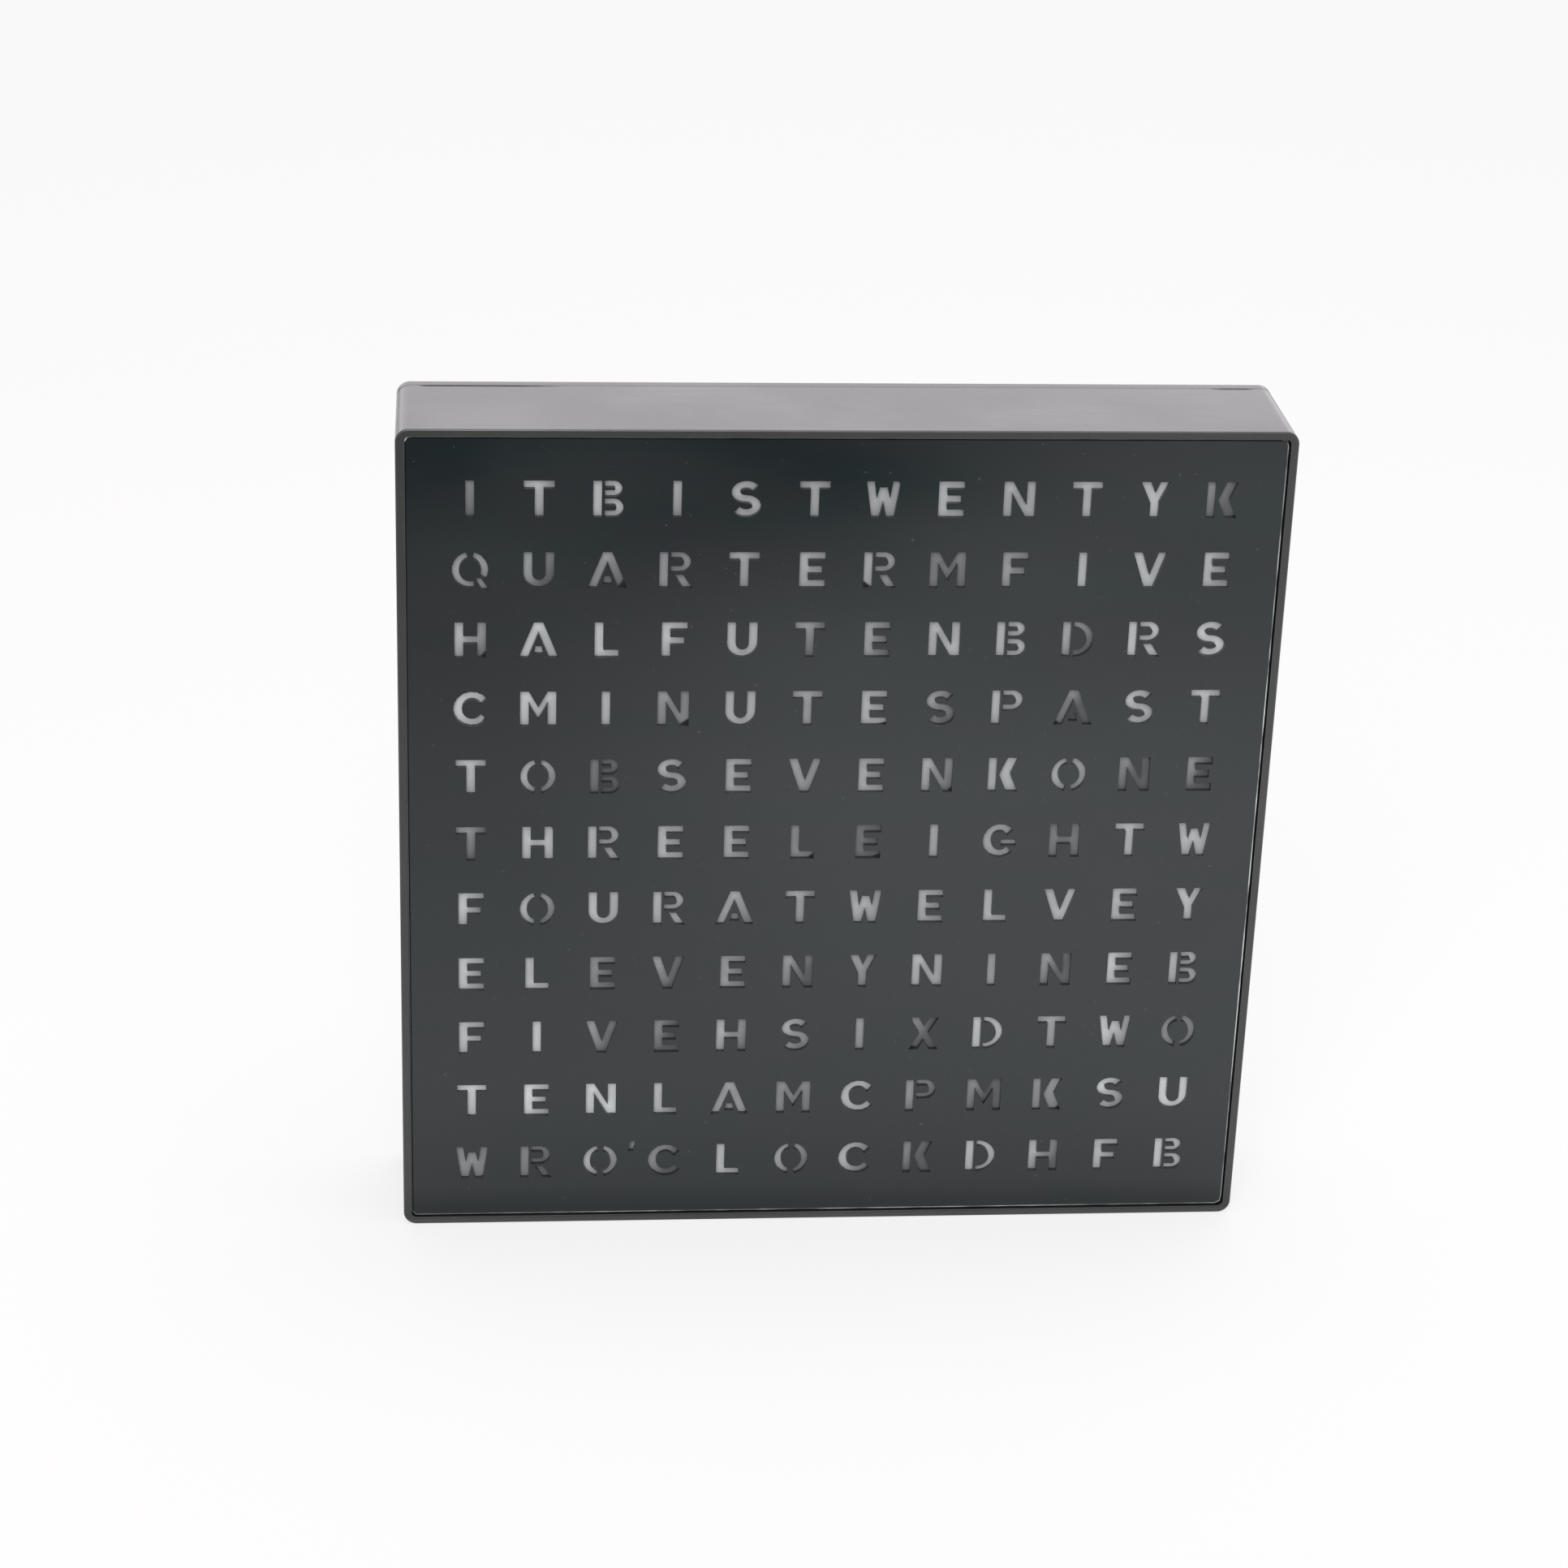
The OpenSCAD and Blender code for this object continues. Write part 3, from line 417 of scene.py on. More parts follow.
def wedge(width, stroke, tip):
    """Two legs that meet in a blunt tip: at the cap line, or at the base line turned over."""
    inner = meet((stroke, 0), ((width + stroke) / 2, CAP), (width - stroke, 0), ((width - stroke) / 2, CAP))
    up = [(0, 0), (stroke, 0), inner, (width - stroke, 0), (width, 0),
          ((width + stroke) / 2, CAP), ((width - stroke) / 2, CAP)]
    return up if tip == "up" else [(x, CAP - z) for x, z in up][::-1]


def letter_e(width, arms):
    """A stem with arms that start at the heights given."""
    outline = [(0, 0), (STEM, 0)]
    for base in arms:
        reach = width if base in (0, CAP - STEM) else width - MIDDLE_ARM_CUT
        outline += [(STEM, base)] * (base > 0) + [(reach, base), (reach, base + STEM)]
        outline += [(STEM, base + STEM)] * (base + STEM < CAP)
    return outline + [(STEM, CAP), (0, CAP)]


def letter_h(width):
    low, high = (CAP - STEM) / 2, (CAP + STEM) / 2
    half = [(STEM, high), (STEM, CAP), (0, CAP), (0, 0), (STEM, 0), (STEM, low)]
    return half + [(width - x, z) for x, z in half[::-1]]


def letter_k(width):
    nook = STEM + BRIDGE
    elbow = nook + 1.35 * STEM
    leg = width - 2.5
    return [(nook, CAP / 2), (leg, CAP), (width, CAP), (elbow, CAP / 2), (width, 0), (leg, 0)]


def letter_m(width, dip, fall):
    return [(0, 0), (STEM, 0), (STEM, CAP - fall), (width / 2, dip), (width - STEM, CAP - fall),
            (width - STEM, 0), (width, 0), (width, CAP), (width - STEM, CAP), (width / 2, dip + fall),
            (STEM, CAP), (0, CAP)]


def letter_n(width, fall):
    return [(0, 0), (STEM, 0), (STEM, CAP - fall), (width - STEM, 0), (width, 0), (width, CAP),
            (width - STEM, CAP), (width - STEM, fall), (STEM, CAP), (0, CAP)]


def letter_s(width):
    across, up = (width - STEM) / 2, (CAP - STEM) / 4
    top = arc(width / 2, CAP - STEM / 2 - up, across, up, 28, 270, 18)
    foot = arc(width / 2, STEM / 2 + up, across, up, 90, -152, 18)
    return ribbon(top + foot[1:], STEM)


def letter_t(width):
    left, right = (width - STEM) / 2, (width + STEM) / 2
    return [(left, 0), (right, 0), (right, CAP - STEM), (width, CAP - STEM), (width, CAP), (0, CAP),
            (0, CAP - STEM), (left, CAP - STEM)]


def letter_u(width):
    turn = (width - STEM) / 2
    curve = arc(width / 2, turn + STEM / 2, turn, turn, 180, 360)
    return ribbon([(STEM / 2, CAP)] + curve + [(width - STEM / 2, CAP)], STEM)


def letter_w(width, foot, apex):
    stroke = 1.7
    left, right = (width - stroke) / 2, (width + stroke) / 2
    low, high = (foot, 0), (left, apex)
    notch = meet((stroke, CAP), (foot + stroke, 0), low, high)
    crotch = meet((foot + stroke, 0), (right, apex), (width - foot - stroke, 0), (left, apex))
    half = [(0, CAP), (foot, 0), (foot + stroke, 0), crotch]
    turned = [(width - x, z) for x, z in half[:3]][::-1]
    other_notch = (width - notch[0], notch[1])
    inner = [(width - stroke, CAP), other_notch, (right, apex), (left, apex), notch, (stroke, CAP)]
    return half + turned + inner


def letter_x(width):
    stroke = 2.1
    rising = ((0, 0), (width - stroke, CAP)), ((stroke, 0), (width, CAP))
    falling = ((width - stroke, 0), (0, CAP)), ((width, 0), (stroke, CAP))
    return [rising[0][0], rising[1][0], meet(*rising[1], *falling[0]), falling[0][0], falling[1][0],
            meet(*rising[1], *falling[1]), rising[1][1], rising[0][1], meet(*rising[0], *falling[1]),
            falling[1][1], falling[0][1], meet(*rising[0], *falling[0])]


def letter_y(width, fork):
    left, right = (width - STEM) / 2, (width + STEM) / 2
    arm = 2.1
    notch = meet((arm, CAP), (right, fork), (width - arm, CAP), (left, fork))
    return [(left, 0), (right, 0), (right, fork), (width, CAP), (width - arm, CAP), notch,
            (arm, CAP), (0, CAP), (left, fork)]


def stencil_letters():
    """Each letter's width and the outlines of its cuts, drawn from its lower left corner."""
    stem = bar(0, 0, STEM, CAP)
    free = STEM + BRIDGE
    waist = CAP / 2
    return {
        "A": (8.7, [wedge(8.7, 2.0, "up"), [(3.3, 0.9), (5.4, 0.9), (5.0, 2.8), (3.7, 2.8)]]),
        "B": (6.6, [stem, bowl(free, 0, 6.6, waist + 0.1), bowl(free, waist + 0.5, 6.3, CAP)]),
        "C": (7.6, [round_stroke(8.3, 34, 326, STEM)]),
        "D": (7.0, [stem, bowl(free, 0, 7.0, CAP)]),
        "E": (5.7, [letter_e(5.7, (0, (CAP - STEM) / 2, CAP - STEM))]),
        "F": (5.7, [letter_e(5.7, ((CAP - STEM) / 2 - 0.3, CAP - STEM))]),
        "G": (7.5, [round_stroke(7.8, 38, 318, STEM), bar(4.1, 3.0, 7.6, 4.5)]),
        "H": (6.9, [letter_h(6.9)]),
        "I": (STEM, [stem]),
        "K": (6.8, [stem, letter_k(6.8)]),
        "L": (5.3, [letter_e(5.3, (0,))]),
        "M": (8.0, [letter_m(8.0, 1.7, 2.9)]),
        "N": (7.0, [letter_n(7.0, 2.9)]),
        "O": (7.9, [round_stroke(7.9, 102, 258, BOW), round_stroke(7.9, -78, 78, BOW)]),
        "P": (7.0, [stem, bowl(free, 3.4, 7.0, CAP)]),
        "Q": (7.9, [round_stroke(7.9, 102, 285, BOW), round_stroke(7.9, -30, 78, BOW),
                    [(4.9, 2.3), (6.3, 2.3), (8.1, -0.4), (6.5, -0.4)]]),
        "R": (7.3, [stem, bowl(free, 3.6, 6.9, CAP), [(3.3, 3.1), (5.2, 3.1), (7.3, 0), (5.2, 0)]]),
        "S": (6.5, [letter_s(6.5)]),
        "T": (6.7, [letter_t(6.7)]),
        "U": (6.7, [letter_u(6.7)]),
        "V": (7.6, [wedge(7.6, 2.0, "down")]),
        "W": (7.5, [letter_w(7.5, 1.25, 7.0)]),
        "X": (6.9, [letter_x(6.9)]),
        "Y": (6.4, [letter_y(6.4, 3.5)]),
        "apostrophe": (1.9, [[(0, CAP - 1.6), (1.1, CAP - 1.6), (1.9, CAP + 1.0), (0.4, CAP + 1.0)]]),
    }


def joined(tree, *parts):
    """Join Geometry takes all its parts on one socket."""
    join = tree.nodes.new("GeometryNodeJoinGeometry")
    for part in parts:
        tree.links.new(part.outputs[0], join.inputs[0])
    return join


def grown(name, tree, base, values):
    """The plain mesh object that a tree makes of a base mesh with these inputs."""
    piece = added(name, base)
    modifier = piece.modifiers.new(name, "NODES")
    modifier.node_group = tree
    for item in tree.interface.items_tree:
        if item.in_out == "INPUT" and item.name in values:
            modifier[item.identifier] = values[item.name]
    evaluated = piece.evaluated_get(bpy.context.evaluated_depsgraph_get())
    mesh = bpy.data.meshes.new_from_object(evaluated)
    piece.modifiers.remove(modifier)
    piece.data = mesh
    return piece


def letter_plate_tree():
    """Cuts one outline from a collection at each point out of a rounded plate, and chamfers its rim."""
    tree, given, result = new_tree("GeometryNodeTree", "letter_plate", {
        "Geometry": "Geometry", "Cuts": "Collection", "Side": "Float", "Corner": "Float",
        "Thickness": "Float", "Edge": "Float", "Place": "Vector", "Face Finish": "Material",
        "Cut Finish": "Material",
    }, {"Geometry": "Geometry"})
    outlines = place(tree, "GeometryNodeCollectionInfo", {
        "Collection": given["Cuts"], "Separate Children": True, "Reset Children": True})
    letter = place(tree, "GeometryNodeInputNamedAttribute", {"Name": "letter"}, data_type="INT")
    cuts = place(tree, "GeometryNodeInstanceOnPoints", {
        "Points": given["Geometry"], "Instance": outlines, "Pick Instance": True,
        "Instance Index": letter.outputs["Attribute"]})
    cuts = place(tree, "GeometryNodeRealizeInstances", {"Geometry": cuts})
    square = place(tree, "GeometryNodeCurvePrimitiveQuadrilateral", {
        "Width": given["Side"], "Height": given["Side"]})
    rounded = place(tree, "GeometryNodeFilletCurve", {
        "Curve": square, "Count": 8, "Radius": given["Corner"]}, mode="POLY")
    sheet = place(tree, "GeometryNodeFillCurve", {"Curve": joined(tree, rounded, cuts)}, mode="TRIANGLES")

    outward = (0, 0, 1)
    straight = math_node("SUBTRACT", given["Thickness"], given["Edge"])
    plate = place(tree, "GeometryNodeExtrudeMesh", {
        "Mesh": sheet, "Offset": outward, "Offset Scale": straight, "Individual": False})
    plate = place(tree, "GeometryNodeExtrudeMesh", {
        "Mesh": plate, "Selection": plate.outputs["Top"], "Offset": outward,
        "Offset Scale": given["Edge"], "Individual": False})
    x, y, _ = split(place(tree, "GeometryNodeInputPosition"))
    reach = math_node("MAXIMUM", math_node("ABSOLUTE", x), math_node("ABSOLUTE", y))
    half = product(given["Side"], 0.5)
    rim_start = math_node("SUBTRACT", half, given["Corner"])
    on_rim = place(tree, "FunctionNodeCompare", {0: reach, 1: rim_start},
                   data_type="FLOAT", operation="GREATER_THAN")
    front_rim = place(tree, "FunctionNodeBooleanMath", {0: plate.outputs["Top"], 1: on_rim}, operation="AND")
    inward = math_node("DIVIDE", product(given["Edge"], -1.0), half)
    shift = place(tree, "ShaderNodeCombineXYZ", {"X": product(x, inward), "Y": product(y, inward)})
    plate = place(tree, "GeometryNodeSetPosition", {
        "Geometry": plate, "Selection": front_rim, "Offset": shift})

    back = place(tree, "GeometryNodeFlipFaces", {"Mesh": sheet})
    solid = place(tree, "GeometryNodeMergeByDistance", {
        "Geometry": joined(tree, plate, back), "Distance": SAME_PLACE})
    standing = place(tree, "GeometryNodeTransform", {
        "Geometry": solid, "Translation": given["Place"], "Rotation": (math.radians(90), 0, 0)})
    faced = place(tree, "GeometryNodeSetMaterial", {"Geometry": standing, "Material": given["Face Finish"]})
    facing = split(place(tree, "GeometryNodeInputNormal"))["Y"]
    on_wall = place(tree, "FunctionNodeCompare", {0: math_node("ABSOLUTE", facing), 1: CUT_WALL_FACING},
                    data_type="FLOAT", operation="LESS_THAN")
    walled = place(tree, "GeometryNodeSetMaterial", {
        "Geometry": faced, "Selection": on_wall, "Material": given["Cut Finish"]})
    whole = place(tree, "GeometryNodeRealizeInstances", {"Geometry": walled})
    tree.links.new(whole.outputs[0], result["Geometry"])
    return tree


def cut_outlines(letters):
    """A collection with one curve object for each letter, in the order given."""
    outlines = bpy.data.collections.new("letter_cuts")
    for index, (width, loops) in enumerate(letters):
        curve = bpy.data.curves.new(f"cut_{index:02d}", "CURVE")
        for loop in loops:
            spline = curve.splines.new("POLY")
            spline.points.add(len(loop) - 1)
            for point, (x, z) in zip(spline.points, loop):
                point.co = ((x - width / 2) * MM, (z - CAP / 2) * MM, 0, 1)
            spline.use_cyclic_u = True
        outlines.objects.link(bpy.data.objects.new(curve.name, curve))
    return outlines


def new_mesh(name, points, edges=(), faces=()):
    mesh = bpy.data.meshes.new(name)
    mesh.from_pydata(points, edges, faces)
    return mesh


def letter_points(names):
    """A mesh of one point for each letter of the rows, with the letter's number on it."""
    spots, numbers = [], []
    for r, row in enumerate(ROWS):
        for c, name in enumerate(row):
            x = (c - (len(row) - 1) / 2) * LETTER_PITCH[0]
            z = ((len(ROWS) - 1) / 2 - r) * LETTER_PITCH[1]
            spots.append((x * MM, z * MM, 0))
            numbers.append(names.index(name))
            if (r, c) == APOSTROPHE_AFTER:
                spots.append(((x + LETTER_PITCH[0] / 2) * MM, z * MM, 0))
                numbers.append(names.index("apostrophe"))
    mesh = new_mesh("letter_points", spots)
    mesh.attributes.new("letter", "INT", "POINT").data.foreach_set("value", numbers)
    return mesh


def polished_panel():
    """Dark acrylic with faint wiping marks, hardly any dust and the slow waviness of a cast sheet."""
    material, tree, shader = new_finish("polished_panel", IOR=PANEL_IOR)
    point = here(tree)
    wipes = place(tree, "ShaderNodeMapping", {
        "Vector": point, "Rotation": (0, 0.5, 0), "Scale": (1.0, 1.0, 3.5)})
    smear = noise(wipes, 14.0, 4.0)
    specks = noise(point, 900.0, 1.0)
    wave = noise(point, 14.0, 1.0)
    dust = in_range(specks, 0.77, 0.83, 0.0, 0.2)
    wiped = in_range(smear, 0.35, 0.65, 0.0, 1.0)
    tint = blend_colour(wiped, PANEL_TINT, PANEL_TINT_WIPED)
    feed(shader, Base_Color=blend_colour(dust, tint, PANEL_DUST),
         Roughness=in_range(smear, 0.35, 0.65, 0.06, 0.13))
    add_bump(shader, wave, 0.05 * MM)
    return material


cut_acrylic = moulded_plastic("cut_acrylic", CUT_EDGE, roughness=0.3, grain_scale=1500.0,
                              grain_depth=0.02 * MM, dust=0.0)
stencil = stencil_letters()
panel_low, panel_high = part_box("letter_panel")
outlines = cut_outlines(stencil.values())
letter_plate = grown("letter_plate", letter_plate_tree(), letter_points(list(stencil)), {
    "Cuts": outlines, "Side": panel_high.x - panel_low.x, "Corner": PANEL_CORNER,
    "Thickness": panel_high.y - panel_low.y, "Edge": PANEL_EDGE,
    "Place": (0, panel_high.y, (panel_low.z + panel_high.z) / 2),
    "Face Finish": polished_panel(), "Cut Finish": cut_acrylic,
})
for glyph in list(outlines.objects):
    bpy.data.objects.remove(glyph)
bpy.data.collections.remove(outlines)
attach(letter_plate, "clock")
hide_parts("letter_panel")

# Glue line: a thread of clear adhesive that fixes the panel in its seat.
# It fills the gap round the panel. Along the right and lower edges it has squeezed out over the panel's
# chamfer, uneven in thickness, with a painted highlight along it there and a painted glint at the upper left.
GLUE_HIGHLIGHT = (0.68, 0.72, 0.71, 1)
GLUE_DARK = (0.055, 0.058, 0.058, 1)
GLUE_RADIUS = 0.17 * MM
GLUE_STEP = 1.5 * MM
GLUE_START = 1.4 * MM
GLUE_GLINT, GLUE_GLINT_BLUR = 0.7 * MM, 0.3 * MM
PANEL_GAP = 0.2 * MM
# Where the painted highlight grows and fades: heights down the right edge, and the x along the foot.
HIGHLIGHT_GROWS, HIGHLIGHT_FADES, HIGHLIGHT_FOOT_GROWS = (10 * MM, 35 * MM), (130 * MM, 170 * MM), (-80 * MM, -60 * MM)


def end_tree(tree, geometry, finish, result):
    """Ends a tree: its instances made real, with their finish on."""
    whole = place(tree, "GeometryNodeRealizeInstances", {"Geometry": geometry})
    dressed = place(tree, "GeometryNodeSetMaterial", {"Geometry": whole, "Material": finish})
    tree.links.new(dressed.outputs[0], result["Geometry"])
    return tree


def glue_tree():
    """A tube of uneven thickness along the base mesh's edges."""
    tree, given, result = new_tree("GeometryNodeTree", "glue_line", {
        "Geometry": "Geometry", "Radius": "Float", "Step": "Float", "Finish": "Material",
    }, {"Geometry": "Geometry"})
    path = place(tree, "GeometryNodeMeshToCurve", {"Mesh": given["Geometry"]})
    path = place(tree, "GeometryNodeResampleCurve", {"Curve": path, "Length": given["Step"]}, mode="LENGTH")
    uneven = noise(place(tree, "GeometryNodeInputPosition"), 160.0, 2.0)
    swell = in_range(uneven, 0.3, 0.7, 0.75, 1.1)
    section = place(tree, "GeometryNodeCurvePrimitiveCircle", {"Resolution": 8, "Radius": given["Radius"]})
    tube = place(tree, "GeometryNodeCurveToMesh", {"Curve": path, "Profile Curve": section, "Scale": swell})
    return end_tree(tree, tube, given["Finish"], result)


def glue_path():
    """A loop round the panel: in the gap at the left and top, out on the chamfer at the right and foot."""
    left, top = panel_low.x - PANEL_GAP / 2, panel_high.z + PANEL_GAP / 2
    right, foot = panel_high.x - PANEL_EDGE, panel_low.z + PANEL_EDGE
    turn, cut = PANEL_CORNER, 0.3 * PANEL_CORNER
    spots = []
    for i, (x, z, across, up) in enumerate(((left, foot, 1, 1), (left, top, 1, -1),
                                            (right, top, -1, -1), (right, foot, -1, 1))):
        bend = [(x + across * turn, z), (x + across * cut, z + up * cut), (x, z + up * turn)]
        spots += bend if i % 2 == 0 else bend[::-1]
    return new_mesh("glue_path", [(x, panel_low.y + PANEL_EDGE / 3, z) for x, z in spots],
                    edges=[(i, (i + 1) % len(spots)) for i in range(len(spots))])


def clear_glue():
    """Clear glue over dark parts, with a painted highlight in broken lengths, brightest down the right edge,
    and a painted glint at the upper left corner.
    """
    material, tree, shader = new_finish("clear_glue", Roughness=0.25, Coat_Weight=0.6)
    point = here(tree)
    x, _, z = split(point)
    uneven = noise(point, 90.0, 3.0)
    # Painted highlight down the right edge and along the foot.
    at_right = math_node("GREATER_THAN", x, panel_high.x - PANEL_CORNER)
    below_top = in_range(z, panel_high.z - GLUE_START, panel_high.z - GLUE_START / 2, 1.0, 0.0)
    down_right = product(at_right, below_top, in_range(z, *HIGHLIGHT_GROWS, 0.35, 1.0),
                         in_range(z, *HIGHLIGHT_FADES, 1.0, 0.6))
    at_foot = math_node("LESS_THAN", z, panel_low.z + PANEL_CORNER)
    along_foot = product(at_foot, in_range(x, *HIGHLIGHT_FOOT_GROWS, 0.12, 0.4))
    painted_highlight = product(math_node("MAXIMUM", down_right, along_foot), in_range(uneven, 0.42, 0.58, 0.15, 1.0))
    # A painted glint at the panel's upper left corner.
    corner = (panel_low.x, panel_low.y, panel_high.z)
    from_corner = vector_math("DISTANCE", point, corner)
    painted_glint = in_range(from_corner.outputs["Value"], GLUE_GLINT, GLUE_GLINT + GLUE_GLINT_BLUR, 1.0, 0.0)
    painted_highlight = math_node("MAXIMUM", painted_highlight, painted_glint)
    feed(shader, Base_Color=blend_colour(painted_highlight, GLUE_DARK, GLUE_HIGHLIGHT))
    add_bump(shader, uneven, 0.1 * MM)
    return material


glue_line = grown("glue_line", glue_tree(), glue_path(), {
    "Radius": GLUE_RADIUS, "Step": GLUE_STEP, "Finish": clear_glue()})
smooth_by_angle(glue_line.data)
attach(glue_line, "clock")

# Diffuser: a sheet of frosted film that lies loose on the light cells behind the panel.
# Unlit, it shows light grey through the letters, each letter at a level of its own. Painted shade darkens
# each letter towards one side, painted light makes the lower rows paler, and painted shadows darken some ends.
FILM_PALE = (0.56, 0.581, 0.584, 1)
FILM_DIM = (0.105, 0.11, 0.112, 1)
FILM_SHADOW = (0.012, 0.013, 0.013, 1)
FILM_SHADE_ACROSS, FILM_SHADE_UP = 0.75, -0.45
# Shares of a cell, from its middle: where the painted shadow at a letter's end may begin, how soft its edge is
# and how far aside it reaches. Then the directions, in radians, in which it may lie.
FILM_SHADOW_STARTS = (0.25, 0.4)
FILM_SHADOW_BLUR = 0.025
FILM_SHADOW_REACH = 0.38
FILM_SHADOW_TURNS = (-2.2, 0.7)


def dress(material, *names):
    """Gives this finish to CAD nodes that keep their own shape."""
    for name in names:
        cad[name].material_slots[0].material = material


def by_cell(point, edge_z, pitch_x, pitch_z):
    """Three chances for the grid cell that a point lies in, and its place in the cell from 0 to 1."""
    in_cells = made_from("ShaderNodeMapping", {
        "Vector": point, "Location": (0, 0, edge_z), "Scale": (pitch_x, 1.0, pitch_z)},
        vector_type="TEXTURE")
    cell = vector_math("FLOOR", in_cells)
    spot = vector_math("FRACTION", in_cells)
    chances = made_from("ShaderNodeTexWhiteNoise", {"Vector": cell}).outputs["Color"]
    return split(chances), split(spot)


def apart(a, b):
    """The distance between two values."""
    return math_node("ABSOLUTE", math_node("SUBTRACT", a, b))


def frosted_film():
    """Light grey film: each letter has its own level and painted shade across its cell, the lower rows get
    painted light, and some ends get painted shadows.
    """
    material, tree, shader = new_finish("frosted_film", Roughness=0.6)
    point = here(tree)
    middle_z = (panel_low.z + panel_high.z) / 2
    pitch_x, pitch_z = LETTER_PITCH[0] * MM, LETTER_PITCH[1] * MM
    chance, spot = by_cell(point, middle_z - pitch_z / 2, pitch_x, pitch_z)
    # Painted shade: each letter darkens towards one side of its cell.
    away = math_node("ADD", product(spot["X"], FILM_SHADE_ACROSS), product(spot["Z"], FILM_SHADE_UP))
    fade = product(in_range(away, 0.0, 0.4, 0.0, 1.0), in_range(chance["X"], 0.3, 1.0, 0.1, 0.85))
    own = in_range(chance["Y"], 0.0, 0.55, 0.2, 1.0)
    drift = in_range(noise(point, 90.0, 2.0), 0.3, 0.7, 0.8, 1.1)
    level = product(math_node("SUBTRACT", own, fade), drift)

    x, _, z = split(point)
    # Painted light makes the lower rows paler; the letters are also paler towards the sides and away from the
    # middle rows.
    painted_light_below = in_range(z, panel_low.z, panel_high.z, 1.3, 0.88)
    paler_aside = in_range(apart(x, 0.0), 15 * MM, 80 * MM, 0.78, 1.1)
    paler_off_middle = in_range(apart(z, middle_z), 5 * MM, 40 * MM, 0.84, 1.05)
    toned = shaded(blend_colour(level, FILM_DIM, FILM_PALE),
                   product(painted_light_below, paler_aside, paler_off_middle))

    # Painted shadows: some letter ends stay dark.
    right, up = [math_node("SUBTRACT", spot[axis], 0.5) for axis in "XZ"]
    turn = in_range(chance["Z"], 0.0, 1.0, *FILM_SHADOW_TURNS)
    outward = math_node("ADD", product(right, math_node("COSINE", turn)), product(up, math_node("SINE", turn)))
    other_chance = math_node("FRACT", product(chance["Z"], 17.0))
    into_shadow = math_node("SUBTRACT", outward, in_range(other_chance, 0.0, 1.0, *FILM_SHADOW_STARTS))
    painted_shadow = product(in_range(into_shadow, 0.0, FILM_SHADOW_BLUR, 0.0, 1.0),
                      math_node("LESS_THAN", math_node("ABSOLUTE", right), FILM_SHADOW_REACH))
    feed(shader, Base_Color=blend_colour(painted_shadow, toned, FILM_SHADOW))
    add_bump(shader, noise(point, 1400.0, 2.0), 0.02 * MM)
    return material


dress(frosted_film(), "diffuser_sheet")

# Light cells: an egg crate of white plastic, moulded in one piece, with one cell for each letter.
# Four pegs locate it on the LED board, whose screws hold it in the ledge's opening, close behind the panel.
CELL_WHITE = (0.8, 0.79, 0.75, 1)
cell_white = moulded_plastic("cell_white", CELL_WHITE, roughness=0.55, grain_scale=2200.0,
                             grain_depth=0.02 * MM, dust=0.1)
dress(cell_white, "light_baffle")

# LED board: fibreglass with a white solder mask, so that it throws light back into the cells.
# It carries one LED behind each letter and, on its back, the driver chips, a row of resistors
# and the socket of the link harness, all soldered; eight screws hold it to bosses in the case.
BOARD_WHITE, BOARD_WHITE_TRACKS = (0.74, 0.75, 0.74, 1), (0.68, 0.67, 0.62, 1)
LED_TRACK_PITCH = 5.5 * MM
TRACK_EDGES = (0.07, 0.1)
LED_WHITE, LED_YELLOW = (0.82, 0.81, 0.77, 1), (0.78, 0.6, 0.16, 1)
LED_WINDOW = 1.1 * MM
CHIP_BLACK = (0.016, 0.016, 0.017, 1)
DRIVER_PITCH = 22.0 * MM
DRIVER_BODY = 3.9 * MM
RESISTOR_BLACK = (0.02, 0.02, 0.022, 1)
RESISTOR_BODY = 2.2 * MM
TINNED = (0.62, 0.62, 0.6, 1)
ZINC_DULL, ZINC_BRIGHT = (0.45, 0.46, 0.48, 1), (0.68, 0.69, 0.71, 1)
CREAM = (0.72, 0.67, 0.55, 1)


def printed_board(name, mask, over_copper, track_pitch):
    """Solder mask over copper tracks that run across or upright from cell to cell, on a fine glass weave."""
    material, tree, shader = new_finish(name)
    point = here(tree)
    chance, spot = by_cell(point, 0.0, track_pitch, track_pitch)
    aside, above = [apart(spot[axis], 0.5) for axis in "XZ"]
    upright = math_node("GREATER_THAN", chance["X"], 0.55)
    level = math_node("SUBTRACT", 1.0, upright)
    off_track = math_node("ADD", product(aside, upright), product(above, level))
    tracks = in_range(off_track, *TRACK_EDGES, 1.0, 0.0)
    weave = noise(point, 1800.0, 1.0)
    cloud = noise(point, 30.0, 2.0)
    feed(shader, Base_Color=blend_colour(product(tracks, 0.8), mask, over_copper),
         Roughness=in_range(cloud, 0.3, 0.7, 0.28, 0.42))
    add_bump(shader, math_node("ADD", tracks, product(weave, 0.3)), 0.03 * MM)
    return material


def from_middle(point, axis, middle):
    """Distance of a point from a plane, along X, Y or Z."""
    return apart(split(point)[axis], middle)


def from_nearest(point, axis, pitch, phase):
    """Distance of a point from the nearest of an even row of planes."""
    steps = math_node("ADD", math_node("DIVIDE", split(point)[axis], pitch), phase)
    return product(apart(math_node("FRACT", steps), 0.5), pitch)


def two_tone(name, mask_from, inner, outer, metal_outside=0.0, roughness=(0.4, 0.5)):
    """A bought part with one colour where the mask is 0 and another, perhaps tinned metal, where it is 1."""
    material, tree, shader = new_finish(name)
    point = here(tree)
    mask = mask_from(point)
    mottle = noise(point, 900.0, 3.0)
    colour = blend_colour(mask, inner, outer)
    feed(shader, Base_Color=shaded(colour, in_range(mottle, 0.3, 0.7, 0.85, 1.15)),
         Roughness=in_range(mottle, 0.3, 0.7, *roughness), Metallic=product(mask, metal_outside))
    add_bump(shader, mottle, 0.01 * MM)
    return material


